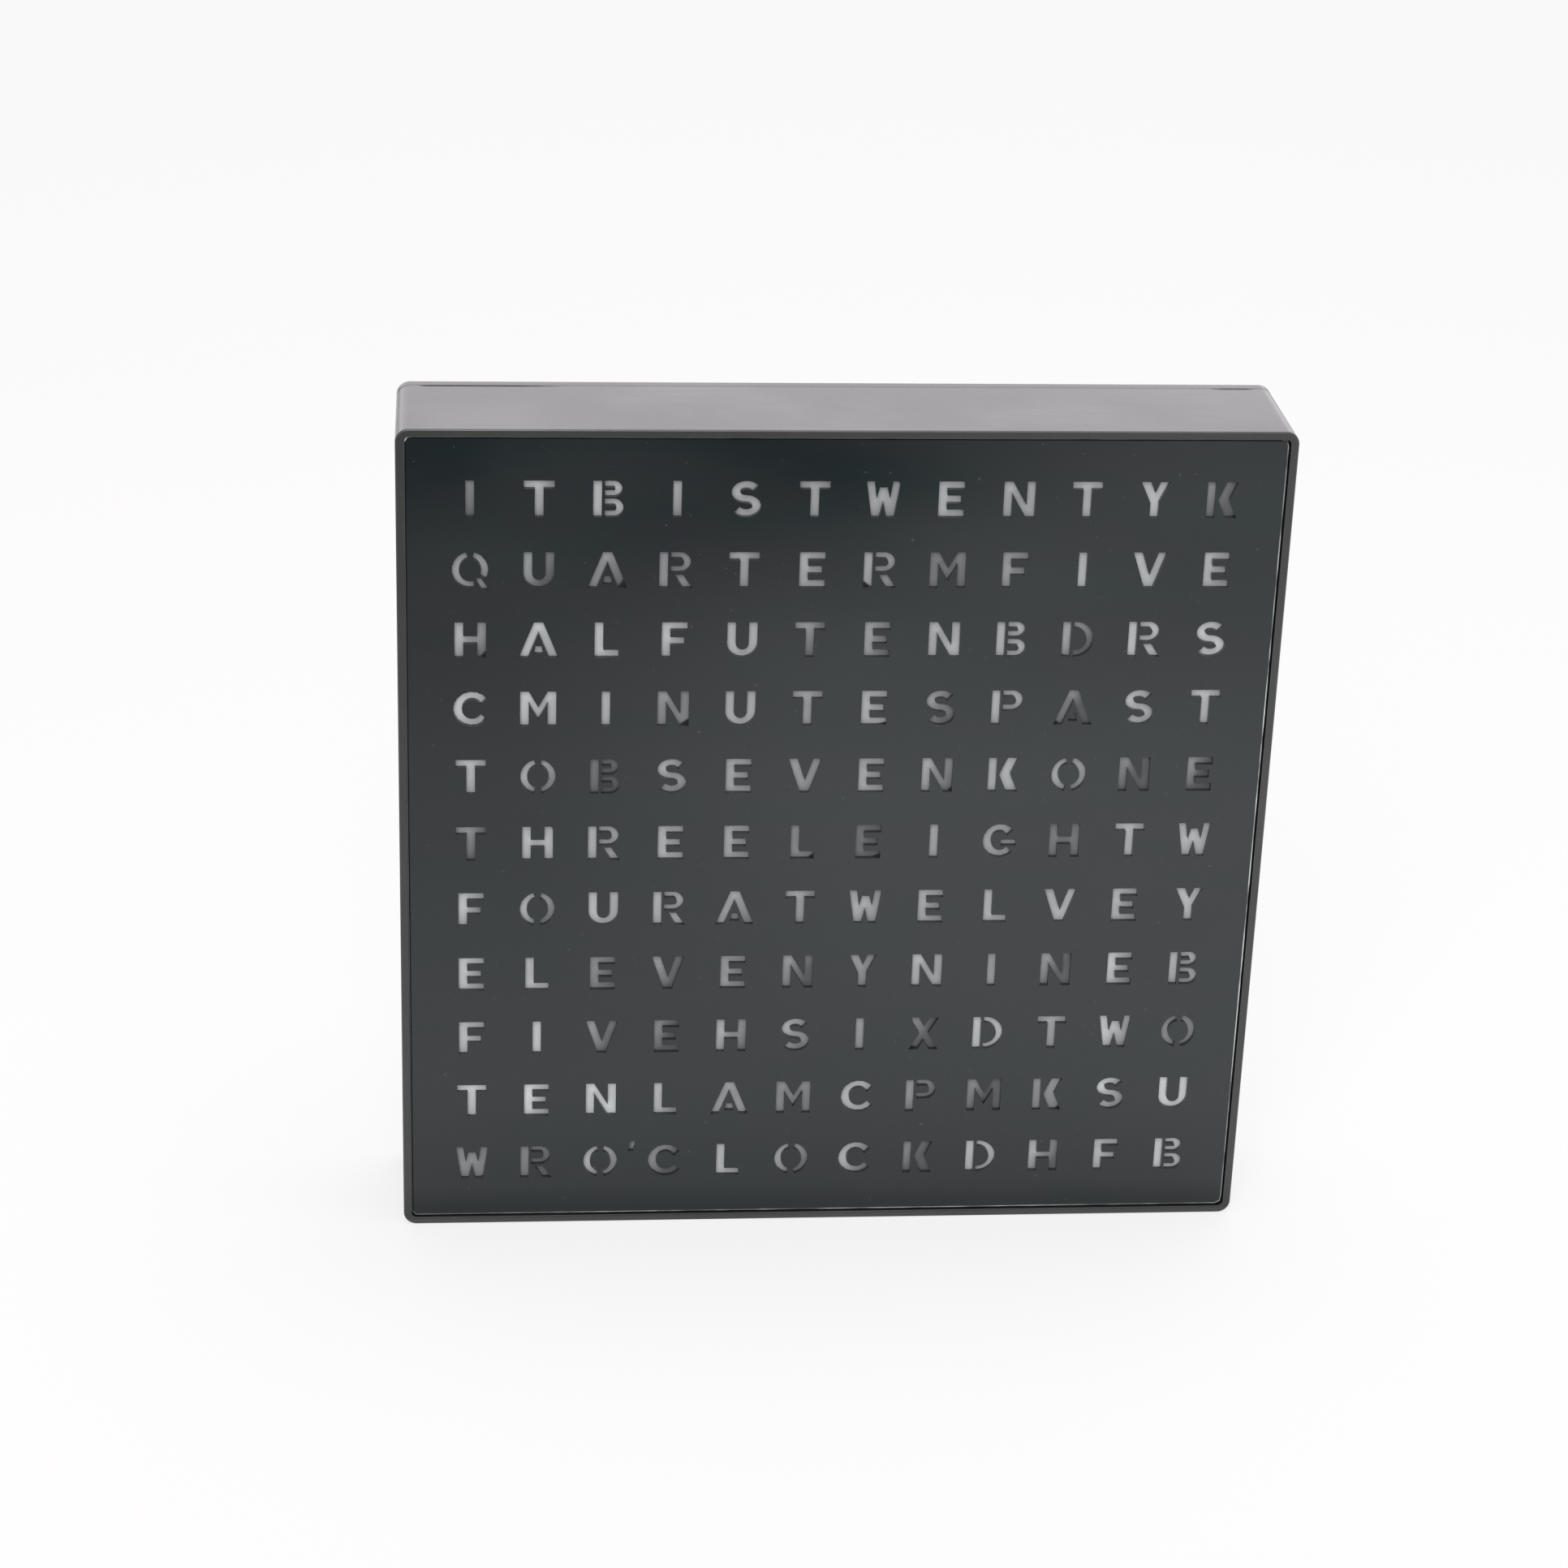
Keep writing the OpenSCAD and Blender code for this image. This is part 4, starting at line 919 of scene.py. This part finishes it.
def beyond(distance, limit):
    return math_node("GREATER_THAN", distance, limit)


def led_window(point):
    pitch_x, pitch_z = LETTER_PITCH[0] * MM, LETTER_PITCH[1] * MM
    across = from_nearest(point, "X", pitch_x, 0.0)
    up = from_nearest(point, "Z", pitch_z, 0.5 - (cad_box[1].z / 2) / pitch_z % 1)
    squared = math_node("ADD", product(across, across), product(up, up))
    return math_node("LESS_THAN", math_node("SQRT", squared), LED_WINDOW)


def driver_leads(point):
    return beyond(from_nearest(point, "X", DRIVER_PITCH, 0.0), DRIVER_BODY / 2)


def resistor_ends(point):
    low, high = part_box("row_resistors")
    return beyond(from_middle(point, "X", (low.x + high.x) / 2), RESISTOR_BODY / 2)


def drawn_metal(name, dull, bright, roughness):
    """Plated or drawn metal with fine scratches across the clock."""
    material, tree, shader = new_finish(name, Metallic=1.0)
    drawn = place(tree, "ShaderNodeMapping", {"Vector": here(tree), "Scale": (1.0, 10.0, 1.0)})
    lines = noise(drawn, 900.0, 3.0)
    feed(shader, Base_Color=blend_colour(lines, dull, bright), Roughness=in_range(lines, 0.3, 0.7, *roughness))
    add_bump(shader, lines, 0.01 * MM)
    return material


def closed(name, shape):
    """A closed shape as an object, its faces turned outward."""
    bmesh.ops.recalc_face_normals(shape, faces=shape.faces)
    mesh = bpy.data.meshes.new(name)
    shape.to_mesh(mesh)
    shape.free()
    return bpy.data.objects.new(name, mesh)


def lathed(name, profile, sides=28):
    """A solid turned round the Y axis from (radius, y) points that begin and end on it."""
    shape = bmesh.new()
    rings = [[shape.verts.new((0, profile[0][1], 0))]]
    for radius, y in profile[1:-1]:
        angles = [2 * math.pi * i / sides for i in range(sides)]
        rings.append([shape.verts.new((radius * math.cos(a), y, radius * math.sin(a))) for a in angles])
    rings.append([shape.verts.new((0, profile[-1][1], 0))])
    for low, high in zip(rings, rings[1:]):
        for i in range(sides):
            corners = [low[i % len(low)], low[(i + 1) % len(low)],
                       high[(i + 1) % len(high)], high[i % len(high)]]
            shape.faces.new(list(dict.fromkeys(corners)))
    return closed(name, shape)


def screw_blank(head_d, head_h, shank_d, shank_l, thread_pitch):
    """A pan head, seated at the origin and facing +Y, on a threaded shank."""
    head_r, shank_r = head_d / 2, shank_d / 2
    profile = [(0, head_h), (0.3 * head_r, 0.985 * head_h), (0.62 * head_r, 0.91 * head_h),
               (0.83 * head_r, 0.75 * head_h), (0.95 * head_r, 0.5 * head_h), (head_r, 0.26 * head_h),
               (head_r, 0.08 * head_h), (0.97 * head_r, 0)]
    core = 0.82 * shank_r
    depth = 0.0
    while depth < shank_l - shank_r - thread_pitch:
        profile += [(core, -depth), (shank_r, -depth - thread_pitch / 2)]
        depth += thread_pitch
    return lathed("screw_blank", profile + [(core, -depth), (0.2 * core, -shank_l), (0, -shank_l)])


def cross_recess(reach, half_width, top, depth):
    """The tapered cross that a driver fits, as a solid to cut with."""
    shape = bmesh.new()
    rings = []
    for y, arm, side in ((top, reach, half_width), (top - depth, 0.45 * reach, 0.6 * half_width)):
        quarter = [(arm, -side), (arm, side), (side, side)]
        ring = []
        for turn in range(4):
            for x, z in quarter:
                for _ in range(turn):
                    x, z = -z, x
                ring.append(shape.verts.new((x, y, z)))
        rings.append(ring)
    shape.faces.new(rings[0])
    shape.faces.new(rings[1])
    for i in range(len(rings[0])):
        n = (i + 1) % len(rings[0])
        shape.faces.new((rings[0][i], rings[0][n], rings[1][n], rings[1][i]))
    return closed("cross_recess", shape)


def screw_tree():
    """Cuts the recess into the blank and sets one screw at each point, each turned its own way."""
    tree, given, result = new_tree("GeometryNodeTree", "screws", {
        "Geometry": "Geometry", "Blank": "Object", "Recess": "Object", "Turned Over": "Float",
        "Seed": "Int", "Finish": "Material",
    }, {"Geometry": "Geometry"})
    blank, recess = [place(tree, "GeometryNodeObjectInfo", {"Object": given[label]}).outputs["Geometry"]
                     for label in ("Blank", "Recess")]
    cut = place(tree, "GeometryNodeMeshBoolean", {"Mesh 1": blank, "Mesh 2": recess}, operation="DIFFERENCE")
    turn = place(tree, "FunctionNodeRandomValue", {3: math.pi, "Seed": given["Seed"]}, data_type="FLOAT")
    facing = place(tree, "ShaderNodeCombineXYZ", {"Y": turn.outputs[1], "Z": given["Turned Over"]})
    screws = place(tree, "GeometryNodeInstanceOnPoints", {
        "Points": given["Geometry"], "Instance": cut, "Rotation": facing})
    return end_tree(tree, screws, given["Finish"], result)


def screw_seats(node, seat_y):
    """A mesh of one point on the axis of each screw of a CAD node, where its head is seated."""
    shape = merged_shape(node)
    seen, seats = set(), []
    for start in shape.verts:
        if start.index in seen:
            continue
        screw = [start]
        seen.add(start.index)
        for vert in screw:
            for other in (edge.other_vert(vert) for edge in vert.link_edges):
                if other.index not in seen:
                    seen.add(other.index)
                    screw.append(other)
        xs, zs = [v.co.x for v in screw], [v.co.z for v in screw]
        seats.append(((min(xs) + max(xs)) / 2, seat_y, (min(zs) + max(zs)) / 2))
    shape.free()
    return new_mesh(node + "_seats", seats)


def set_screws(node, name, blank, recess, seat_y, turned_over, seed, finish):
    """Screws with a cut recess in place of a CAD node's plain ones."""
    screws = grown(name, screw_setting, screw_seats(node, seat_y), {
        "Blank": blank, "Recess": recess, "Turned Over": turned_over, "Seed": seed, "Finish": finish})
    smooth_by_angle(screws.data)
    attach(screws, "clock")
    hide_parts(node)


zinc = drawn_metal("zinc_steel", ZINC_DULL, ZINC_BRIGHT, roughness=(0.22, 0.4))
cream_nylon = moulded_plastic("cream_nylon", CREAM, roughness=0.5, grain_scale=2500.0,
                              grain_depth=0.015 * MM, dust=0.05)
dress(printed_board("white_board", BOARD_WHITE, BOARD_WHITE_TRACKS, LED_TRACK_PITCH), "led_board")
dress(two_tone("led_package", led_window, LED_WHITE, LED_YELLOW), "word_leds")
dress(two_tone("driver_chip", driver_leads, CHIP_BLACK, TINNED, metal_outside=1.0), "driver_chips")
dress(two_tone("row_resistor", resistor_ends, RESISTOR_BLACK, TINNED, metal_outside=1.0), "row_resistors")
dress(cream_nylon, "led_board_socket", "control_socket")
screw_setting = screw_tree()
board_blank = screw_blank(head_d=3.6 * MM, head_h=1.3 * MM, shank_d=1.7 * MM, shank_l=6.0 * MM,
                          thread_pitch=0.6 * MM)
board_recess = cross_recess(reach=1.0 * MM, half_width=0.22 * MM, top=1.4 * MM, depth=1.0 * MM)
set_screws("led_board_screws", "led_board_fixings", board_blank, board_recess,
           seat_y=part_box("led_board")[1].y, turned_over=0.0, seed=3, finish=zinc)

# Control board: green fibreglass, screwed to four posts of the rear cover.
# It carries the microcontroller, its crystal and a filter capacitor, soldered in place.
BOARD_GREEN, BOARD_GREEN_TRACKS = (0.012, 0.1, 0.045, 1), (0.03, 0.2, 0.08, 1)
CONTROL_TRACK_PITCH = 2.6 * MM
MCU_BODY = 7.0 * MM
CRYSTAL_DULL, CRYSTAL_BRIGHT = (0.58, 0.58, 0.57, 1), (0.72, 0.72, 0.71, 1)
CAPACITOR_BASE = 0.9 * MM
CAPACITOR_CAN = (0.7, 0.71, 0.72, 1)


def mcu_leads(point):
    low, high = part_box("microcontroller")
    middle = (low + high) / 2
    aside = from_middle(point, "X", middle.x)
    up = from_middle(point, "Z", middle.z)
    return beyond(math_node("MAXIMUM", aside, up), MCU_BODY / 2)


def capacitor_can(point):
    low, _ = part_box("filter_capacitor")
    return beyond(from_middle(point, "Y", low.y), CAPACITOR_BASE)


dress(printed_board("green_board", BOARD_GREEN, BOARD_GREEN_TRACKS, CONTROL_TRACK_PITCH), "control_board")
dress(two_tone("microcontroller_chip", mcu_leads, CHIP_BLACK, TINNED, metal_outside=1.0), "microcontroller")
dress(drawn_metal("crystal_can", CRYSTAL_DULL, CRYSTAL_BRIGHT, roughness=(0.2, 0.34)), "clock_crystal")
dress(two_tone("capacitor_can", capacitor_can, CHIP_BLACK, CAPACITOR_CAN, metal_outside=1.0,
               roughness=(0.25, 0.38)), "filter_capacitor")
set_screws("control_board_screws", "control_board_fixings", board_blank, board_recess,
           seat_y=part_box("control_board")[0].y, turned_over=math.pi, seed=5, finish=zinc)

# Link harness: six insulated wires between two nylon plugs, from the control board to the LED board.
# Each wire has its own colour, so that the plugs can't be wired the wrong way round.
WIRE_PITCH = 2.0 * MM
WIRE_SOFTENED = (0.5, 0.46, 0.4, 1)
PLUG_LENGTH = 6.0 * MM


def link_wires():
    """A soft colour for each wire, and cream plugs at both ends."""
    material, tree, shader = new_finish("link_wires", Roughness=0.45)
    point = here(tree)
    low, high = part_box("link_harness")
    reach = from_middle(point, "X", (low.x + high.x) / 2)
    plugs = beyond(reach, (high.x - low.x) / 2 - PLUG_LENGTH)
    strand = vector_math("SNAP", point, (1.0, 1.0, WIRE_PITCH))
    hue = place(tree, "ShaderNodeTexWhiteNoise", {"Vector": strand}).outputs["Color"]
    softened = blend_colour(0.55, hue, WIRE_SOFTENED)
    feed(shader, Base_Color=blend_colour(plugs, softened, CREAM))
    add_bump(shader, noise(point, 1500.0, 2.0), 0.01 * MM)
    return material


dress(link_wires(), "link_harness")

# Power jack: a black nylon block soldered to the control board, with a collar that fills its hole
# in the rear cover, a plated centre pin and a leaf spring that touches the plug's sleeve.
JACK_BLACK = (0.012, 0.012, 0.0125, 1)
JACK_EDGE_ROUND = 0.15 * MM
PIN_DULL, PIN_BRIGHT = (0.62, 0.55, 0.38, 1), (0.8, 0.75, 0.6, 1)
PIN_EDGE_ROUND = 0.12 * MM
jack_nylon = moulded_plastic("jack_nylon", JACK_BLACK, roughness=0.38, grain_scale=3200.0,
                             grain_depth=0.012 * MM, dust=0.15)
plated_pin = drawn_metal("plated_pin", PIN_DULL, PIN_BRIGHT, roughness=(0.18, 0.32))
for node, name, edge_round, finish, slot in (
        ("power_jack_body", "jack_block", JACK_EDGE_ROUND, jack_nylon, "jack_black"),
        ("power_jack_pin", "jack_tip", PIN_EDGE_ROUND, plated_pin, "jack_pin")):
    piece = merged_copy(node, name, finish, edge_round=edge_round)
    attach(piece, "clock")
    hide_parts(node)
dress(zinc, "power_jack_spring")

# Switches: two key switches, each a nylon base and a plunger under a stamped steel frame.
# A spring dome inside snaps down when the plunger is pressed and lifts it again.
SWITCH_BLACK = (0.013, 0.013, 0.014, 1)
PLUNGER_GREY = (0.06, 0.06, 0.063, 1)
switch_nylon = moulded_plastic("switch_nylon", SWITCH_BLACK, roughness=0.45, grain_scale=3000.0,
                               grain_depth=0.012 * MM, dust=0.0)
plunger_acetal = moulded_plastic("plunger_acetal", PLUNGER_GREY, roughness=0.35, grain_scale=3000.0,
                                 grain_depth=0.01 * MM, dust=0.0)
for body in ("hour", "minute"):
    dress(switch_nylon, body + "_switch_base")
    dress(zinc, body + "_switch_frame")
    dress(plunger_acetal, body + "_switch_plunger")
    dome = merged_copy(body + "_switch_dome", body + "_spring_dome", zinc)
    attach(dome, "clock")
    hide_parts(body + "_switch_dome")
    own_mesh(dome)

# Setting buttons: two turned caps of black plastic that pass through the rear cover.
# A flange keeps each one in, and its stem rests on the plunger of its switch.
BUTTON_BLACK = (0.03, 0.03, 0.032, 1)
BUTTON_EDGE_ROUND = 0.2 * MM
button_plastic = moulded_plastic("button_plastic", BUTTON_BLACK, roughness=0.34, grain_scale=2600.0,
                                 grain_depth=0.015 * MM, edge_wear=0.8)
for body in ("hour_button", "minute_button"):
    cap = merged_copy(body, body + "_cap", button_plastic, edge_round=BUTTON_EDGE_ROUND, segments=4)
    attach(cap, body)
    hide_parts(body)

# Rear cover: the moulded back of the case, with lips inside that locate it in the walls.
# Its spark-eroded face is coarser than the walls. Two keyholes hang the clock on screws, a shallow
# recess holds the buttons and the jack, and pale dust lies in the groove of the seam along the top;
# its paleness is partly painted light that lifts the groove's shade.
SEAM_DUST_AND_LIGHT = (0.17, 0.168, 0.172, 1)
PALE_SEAM_REACH, PALE_SEAM_BLUR, PALE_SEAM_BELOW_TOP = 0.22 * MM, 0.08 * MM, 0.5 * MM


def pale_seam_dust_and_light(material):
    """Pale dust along the cover's front edge, where it sits tight on the top wall; partly painted light in the
    seam's groove.
    """
    tree = material.node_tree
    shader = tree.nodes["Principled BSDF"]
    x, y, z = split(here(tree))
    ends = case_high.y + PALE_SEAM_REACH
    mask = product(in_range(y, ends, ends + PALE_SEAM_BLUR, 1.0, 0.0),
                   math_node("GREATER_THAN", z, case_high.z - PALE_SEAM_BELOW_TOP),
                   math_node("SUBTRACT", 1.0, painted_shade_lengths(x)))
    plain = shader.inputs["Base Color"].links[0].from_socket
    feed(shader, Base_Color=blend_colour(mask, plain, SEAM_DUST_AND_LIGHT))


cover_plastic = moulded_plastic("cover_plastic", CASE_BLACK, roughness=0.24, grain_scale=1900.0,
                                grain_depth=0.012 * MM, dust=0.12, smears=0.1,
                                IOR=CASE_IOR, Coat_Roughness=SMEAR_ROUGHNESS)
# Pale dust along the seam, partly painted light in its groove.
pale_seam_dust_and_light(cover_plastic)
back_cover = merged_copy("rear_cover", "back_cover", cover_plastic, edge_round=CASE_EDGE_ROUND)
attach(back_cover, "clock")
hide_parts("rear_cover")

# Cover screws: four blackened pan-head screws that hold the rear cover to bosses in the case's corners.
# Each sits in a counterbore, a little below the back, its cross recess turned as it came to rest.
OXIDE_DULL, OXIDE_BRIGHT = (0.05, 0.05, 0.052, 1), (0.11, 0.11, 0.112, 1)
COVER_HEAD = 1.4 * MM
black_oxide = drawn_metal("black_oxide", OXIDE_DULL, OXIDE_BRIGHT, roughness=(0.3, 0.45))
cover_blank = screw_blank(head_d=5.0 * MM, head_h=COVER_HEAD, shank_d=2.4 * MM, shank_l=10.0 * MM,
                          thread_pitch=0.9 * MM)
cover_recess = cross_recess(reach=1.45 * MM, half_width=0.32 * MM, top=1.5 * MM, depth=1.15 * MM)
set_screws("rear_cover_screws", "cover_fixings", cover_blank, cover_recess,
           seat_y=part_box("rear_cover_screws")[1].y - COVER_HEAD, turned_over=0.0, seed=8,
           finish=black_oxide)
for shape in (board_blank, board_recess, cover_blank, cover_recess):
    bpy.data.objects.remove(shape)

# Studio: a white sheet that runs on behind the clock, under soft light.
# One wide softbox, slightly violet, stands behind, one hangs above and one fills in from beside the
# camera; a dark cloth in front, out of view and seen only in gloss, is mirrored by the upper part of the
# panel, and along the clock's foot it paints the clock's shadow into the mirrored floor.
FLOOR_WHITE = (0.86, 0.855, 0.86, 1)
FLOOR_REACH = 6.0
FLOOR_LIFT, FLOOR_LIFT_AWAY, MIRRORED_LIFT = 0.72, 0.87, 0.42
PAPER = (1.0, 0.985, 0.993, 1)
BACKDROP = (0.98, 0.975, 0.98, 1)
# Along y, where the shade on the floor grows in front of the clock and goes behind it, and where painted
# shade dims the paper behind the clock; then how far from the clock the paper goes over into the backdrop.
SHADE_FRONT, SHADE_BACK, PAPER_PAINTED_SHADE = (-0.1, -0.03), (0.1, 0.5), (0.05, 0.6)
BACKDROP_BLENDS = (0.5, 1.6)
ROOM_LIGHT = 0.58
CLOTH_BLACK = (0.02, 0.02, 0.02, 1)
CLOTH_SIDE, CLOTH_FRONT, CLOTH_HEIGHT = 0.7, -1.1, 1.0 * MM
# Along y, where the cloth ends by the clock, and from where to where it grows dense.
CLOTH_EDGE, CLOTH_GROWS = -0.017, (-0.26, -0.56)
CLOTH_DENSEST = 0.97
FOLD_MIDDLE = 0.035


def seen_or_mirrored(tree, seen, mirrored):
    """One value for what the camera sees straight on, one for its mirror image in gloss, and 0 for light."""
    light_path = place(tree, "ShaderNodeLightPath").outputs
    return math_node("ADD", product(light_path["Is Camera Ray"], seen),
                     product(light_path["Is Glossy Ray"], mirrored))


def flat_sheet(name, x0, y0, x1, y1, height):
    """A level rectangle that belongs to the studio."""
    corners = [(x, y, height) for x, y in bar(x0, y0, x1, y1)]
    sheet = added(name, new_mesh(name, corners, faces=[(0, 1, 2, 3)]))
    return sheet


def surface_mix(tree, factor, first, second):
    """Makes the surface of a material a mix of two shaders."""
    mixed = place(tree, "ShaderNodeMixShader", {"Fac": factor, 1: first, 2: second})
    tree.links.new(mixed.outputs[0], tree.nodes["Material Output"].inputs["Surface"])


floor = flat_sheet("floor", -FLOOR_REACH, -FLOOR_REACH, FLOOR_REACH, FLOOR_REACH, 0)
floor_white, tree, shader = new_finish("floor_white", Base_Color=FLOOR_WHITE, Roughness=0.9)
point = here(tree)
from_front = split(point)["Y"]
away = vector_math("LENGTH", point).outputs["Value"]
far = in_range(away, *BACKDROP_BLENDS, 0.0, 1.0)
# Painted shade: the paper's glow dims a little behind the clock.
paper_painted_shade = in_range(from_front, *PAPER_PAINTED_SHADE, 1.0, 0.98)
paper = place(tree, "ShaderNodeEmission", {
    "Color": blend_colour(far, PAPER, BACKDROP),
    "Strength": math_node("MAXIMUM", paper_painted_shade, far)})
lift = math_node("MAXIMUM", in_range(from_front, *SHADE_FRONT, FLOOR_LIFT_AWAY, FLOOR_LIFT),
                 in_range(from_front, *SHADE_BACK, FLOOR_LIFT, FLOOR_LIFT_AWAY))
surface_mix(tree, seen_or_mirrored(tree, math_node("MAXIMUM", lift, far), MIRRORED_LIFT), shader, paper)
floor.data.materials.append(floor_white)

cloth = flat_sheet("dark_cloth", -CLOTH_SIDE, CLOTH_FRONT, CLOTH_SIDE, CLOTH_EDGE, CLOTH_HEIGHT)
cloth_dark, tree, shader = new_finish("cloth_dark", Base_Color=CLOTH_BLACK, Roughness=1.0)
point = here(tree)
x, y, _ = split(point)
folds = noise(point, 7.0, 1.0)
density = product(in_range(y, *CLOTH_GROWS, 0.0, 0.78),
                  in_range(folds, 0.35, 0.65, 0.75, 1.2), in_range(x, -0.1, 0.22, 1.1, 0.6))
from_fold = apart(x, FOLD_MIDDLE)
for patch in (
        # left of the middle, near the clock
        (in_range(x, 0.02, -0.07, 0.0, 1.0), in_range(y, -0.08, -0.24, 0.0, 0.26),
         in_range(y, -0.5, -0.36, 0.0, 1.0)),
        # the far left corner
        (in_range(x, -0.074, -0.087, 0.0, 1.0), in_range(y, -0.505, -0.545, 0.0, 0.36)),
        # a fold right of the middle
        (in_range(from_fold, 0.02, 0.075, 1.0, 0.0), in_range(y, -0.36, -0.5, 0.0, 0.18)),
        # a little more all along the left, and two steps along the clock's foot: a painted shadow, the clock's
        # own shade on the floor as the panel and rim mirror it
        (in_range(x, -0.1, 0.05, 0.1, 0.0),),
        (in_range(y, -0.07, -0.03, 0.0, 0.13),),
        (in_range(y, -0.03, -0.021, 0.0, 0.25),)):
    density = math_node("ADD", density, product(*patch))
density = math_node("MINIMUM", density, CLOTH_DENSEST)
surface_mix(tree, density, place(tree, "ShaderNodeBsdfTransparent"), shader)
cloth.data.materials.append(cloth_dark)
cloth.visible_camera = cloth.visible_diffuse = cloth.visible_shadow = False

world = bpy.data.worlds.new("studio")
bpy.context.scene.world = world
world.use_nodes = True
tree = world.node_tree
tree.nodes.clear()
room = place(tree, "ShaderNodeBackground", {"Color": (1, 1, 1, 1), "Strength": ROOM_LIGHT})
white = place(tree, "ShaderNodeBackground", {"Color": BACKDROP, "Strength": 1.0})
mixed = place(tree, "ShaderNodeMixShader", {"Fac": seen_or_mirrored(tree, 1.0, 1.0), 1: room, 2: white})
place(tree, "ShaderNodeOutputWorld", {"Surface": mixed})


def softbox(name, spot, aim, width, height, watts, colour=(1, 1, 1)):
    """A wide lamp that the camera doesn't see, turned to what it lights."""
    lamp = bpy.data.lights.new(name, "AREA")
    lamp.shape = "RECTANGLE"
    lamp.size, lamp.size_y, lamp.energy, lamp.color = width, height, watts, colour
    holder = added(name, lamp)
    holder.location = spot
    holder.rotation_euler = (Vector(aim) - Vector(spot)).to_track_quat("-Z", "Y").to_euler()
    holder.visible_camera = False


softbox("behind", spot=(0.25, 2.2, 0.95), aim=(0, 0, 0.2), width=3.2, height=1.6, watts=12.6,
        colour=(1.0, 0.94, 1.025))
softbox("overhead", spot=(0.25, 0.1, 1.4), aim=(0, 0, 0.1), width=1.2, height=1.2, watts=8)
softbox("front", spot=(-0.35, -1.5, 1.3), aim=(0, 0, 0.1), width=1.0, height=1.0, watts=16)

# Camera: above the clock and a little to the left of its middle, with a straight lens.
# Its place, its direction, its slight roll and the length of its lens are fitted to the case's edges.
EYE = Vector((-0.08514, -0.78522, 0.46066))
AHEAD = Vector((0.086113, 0.907880, -0.410292))
ROLL = math.radians(1.9546)
level = AHEAD.cross(Vector((0, 0, 1))).normalized()
right = math.cos(ROLL) * level + math.sin(ROLL) * level.cross(AHEAD)
up = right.cross(AHEAD)
camera = added("camera", bpy.data.cameras.new("camera"))
camera.data.sensor_width = 36.0
camera.data.lens = 86.38
camera.data.clip_start = 0.01
camera.matrix_world = Matrix((right, up, -AHEAD)).transposed().to_4x4()
camera.location = EYE
bpy.context.scene.camera = camera
bpy.context.scene.view_settings.view_transform = "Standard"
